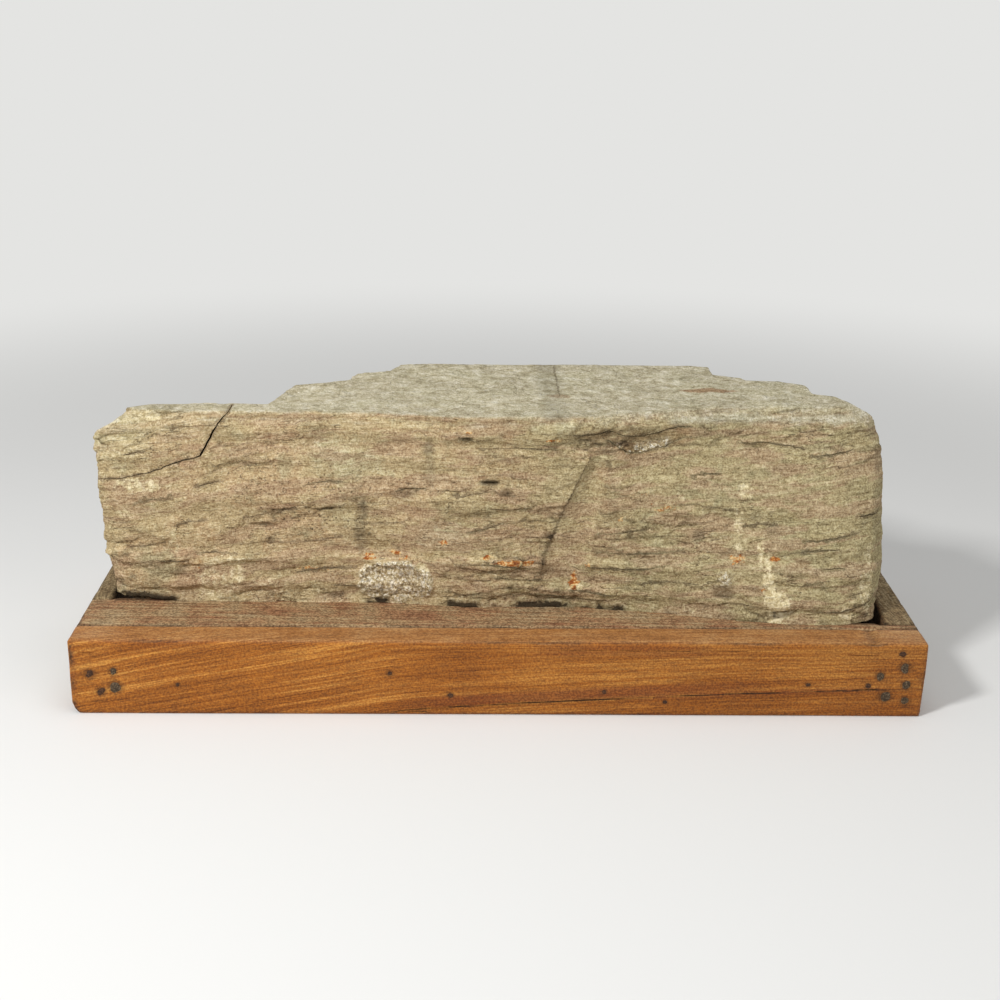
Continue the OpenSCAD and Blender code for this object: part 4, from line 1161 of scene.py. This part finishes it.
def makeHead(node, outwards, width, height, slant, ragged, seed):
    low, high = (Vector(corner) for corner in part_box(node))
    centre = (low + high) / 2
    centre.y = low.y if outwards < 0 else high.y
    deselectAll()
    bpy.ops.mesh.primitive_uv_sphere_add(segments=28, ring_count=14, radius=0.5, location=centre)
    piece = bpy.context.object
    piece.rotation_euler = (0, -math.radians(slant), 0)
    piece.scale = (1.35 * width * mm, 3.0 * mm, 1.35 * height * mm)
    bpy.ops.object.transform_apply(location=True, rotation=True, scale=True)
    p = getPoints(piece)
    middle = np.array(centre)
    out = p - middle
    p += out * (ragged * fractal(p, (0.004, 0.02, 0.004), seed, 2) * 1.3)[:, None] * [1, 0, 1]
    p[:, 1] += outwards * 0.25 * mm * fractal(p, (0.003, 0.003, 0.003), seed + 3, 2)
    setPoints(piece, p)
    return piece


def makeNails(name, nodes, material, inset):
    parts = []
    for i, node in enumerate(nodes):
        width, height, slant, shift, ragged = nailMarks.get(node, (8, 8, 0, 0, 0.15))
        outwards = 1 if node.startswith("back") else -1
        head = makeHead(node, outwards, width, height, slant, ragged, 301 + 7 * i)
        p = getPoints(head)
        p[:, 1] -= outwards * inset
        p[:, 2] += shift * mm
        setPoints(head, p)
        parts.append(head)
    deselectAll()
    for part in parts:
        part.select_set(True)
    bpy.context.view_layer.objects.active = parts[0]
    bpy.ops.object.join()
    piece = bpy.context.object
    piece.name = name
    bpy.ops.object.shade_smooth()
    piece.data.materials.append(material)
    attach(piece, "root")
    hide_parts(*nodes)
    print(name, "done")


def makeNailFinish(name, dark, middle, light):
    # Forged iron gone to dull brown rust, or hard grey stopping: matt and mottled at 1 to 2 mm.
    material = bpy.data.materials.new(name)
    material.use_nodes = True
    tree = material.node_tree
    shader = tree.nodes["Principled BSDF"]
    shader.inputs["Roughness"].default_value = 0.8
    shader.inputs["Specular IOR Level"].default_value = 0.3
    place = addNode(tree, "ShaderNodeTexCoord").outputs["Object"]
    mottle = addNode(tree, "ShaderNodeTexNoise", {"Vector": place, "Scale": 520.0, "Detail": 4.0,
                                                  "Roughness": 0.6}).outputs["Fac"]
    colour = addNode(tree, "ShaderNodeValToRGB", {"Fac": mottle},
                     [(0.34, dark), (0.52, middle), (0.70, light)])
    tree.links.new(colour.outputs["Color"], shader.inputs["Base Color"])
    bump = addNode(tree, "ShaderNodeBump", {"Height": mottle, "Strength": 0.5, "Distance": 0.0006})
    tree.links.new(bump.outputs["Normal"], shader.inputs["Normal"])
    return material


def makeTimber():
    oiled = makeWoodFinish(
        "oiled sawn hardwood", [(0.38, "#6f3c10"), (0.45, "#97591b"), (0.51, "#a96825"), (0.59, "#c98a3e")],
        "#7c3f1c", "#3b2c20", 0.55,
        ([(0.36, "#80552e"), (0.5, "#a97a4b"), (0.64, "#c39a69")], 0.75, 0.12, 0.4))
    weathered = makeWoodFinish(
        "weathered hardwood", [(0.37, "#765a40"), (0.45, "#957655"), (0.52, "#a68662"), (0.60, "#bca17c")],
        "#7a4a2c", "#4a3c2e", 0.78,
        ([(0.40, "#7b5038"), (0.47, "#926f50"), (0.53, "#9f8663"), (0.62, "#b5a07d")], 0.8, 0.3, 0.6))
    dusty = makeWoodFinish(
        "dusty grey hardwood", [(0.37, "#6d553c"), (0.45, "#88704f"), (0.52, "#97805d"), (0.60, "#ad9876")],
        "#7a4a2c", "#443829", 0.8,
        ([(0.40, "#6b5a42"), (0.47, "#827153"), (0.53, "#908062"), (0.62, "#a89977")], 0.85, 0.3, 0.6))
    heads = []
    for node, (width, height, slant, shift, ragged) in nailMarks.items():
        low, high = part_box(node)
        heads.append(([(low[0] + high[0]) / 2, 0, (low[2] + high[2]) / 2 + shift * mm],
                      0.5 * mm * (width + height) / 2))
    board = makeBoard("frontBoard", "front_board")
    carveFront(board, heads)
    finishBoard(board, 0.55, oiled)
    cutSplits(board)
    board = makeBoard("packingStrip", "packing_strip", taperStrip)
    carveBoard(board, 241, (0.02, 0.5), (0, 1))
    finishBoard(board, 0.45, weathered)
    board = makeBoard("leftBoard", "left_board")
    carveBoard(board, 251, (0.9, 0.03), (1, 0))
    finishBoard(board, 0.4, dusty)
    board = makeBoard("rightBoard", "right_board", swellRight)
    carveBoard(board, 261, (0.8, 0.03), (-1, 0))
    finishBoard(board, 0.4, dusty)
    board = makeBoard("backBoard", "back_board")
    carveBoard(board, 271, (0.05, 0.7), (0, -1))
    finishBoard(board, 0.4, oiled)
    rust = makeNailFinish("rusted nail iron", "#2b1a10", "#452d1d", "#6b4a30")
    stopping = makeNailFinish("dirty grey stopping", "#2f2419", "#4b3c2b", "#7a6850")
    bare = [n for n in nailMarks if n not in fillers and not n.startswith("brad")]
    makeNails("nailHeads", bare, rust, 0.9 * mm)
    makeNails("stoppedNails", list(fillers), stopping, 1.0 * mm)
    makeNails("bradHeads", [n for n in nailMarks if n.startswith("brad")], rust, 1.0 * mm)
    behind = [n for n in frame["nodes"] if n.startswith("back_") and "nail" in n]
    makeNails("backNails", behind, rust, 0.6 * mm)


makeCamera()
makeStudio()
makeStone()
makeTimber()
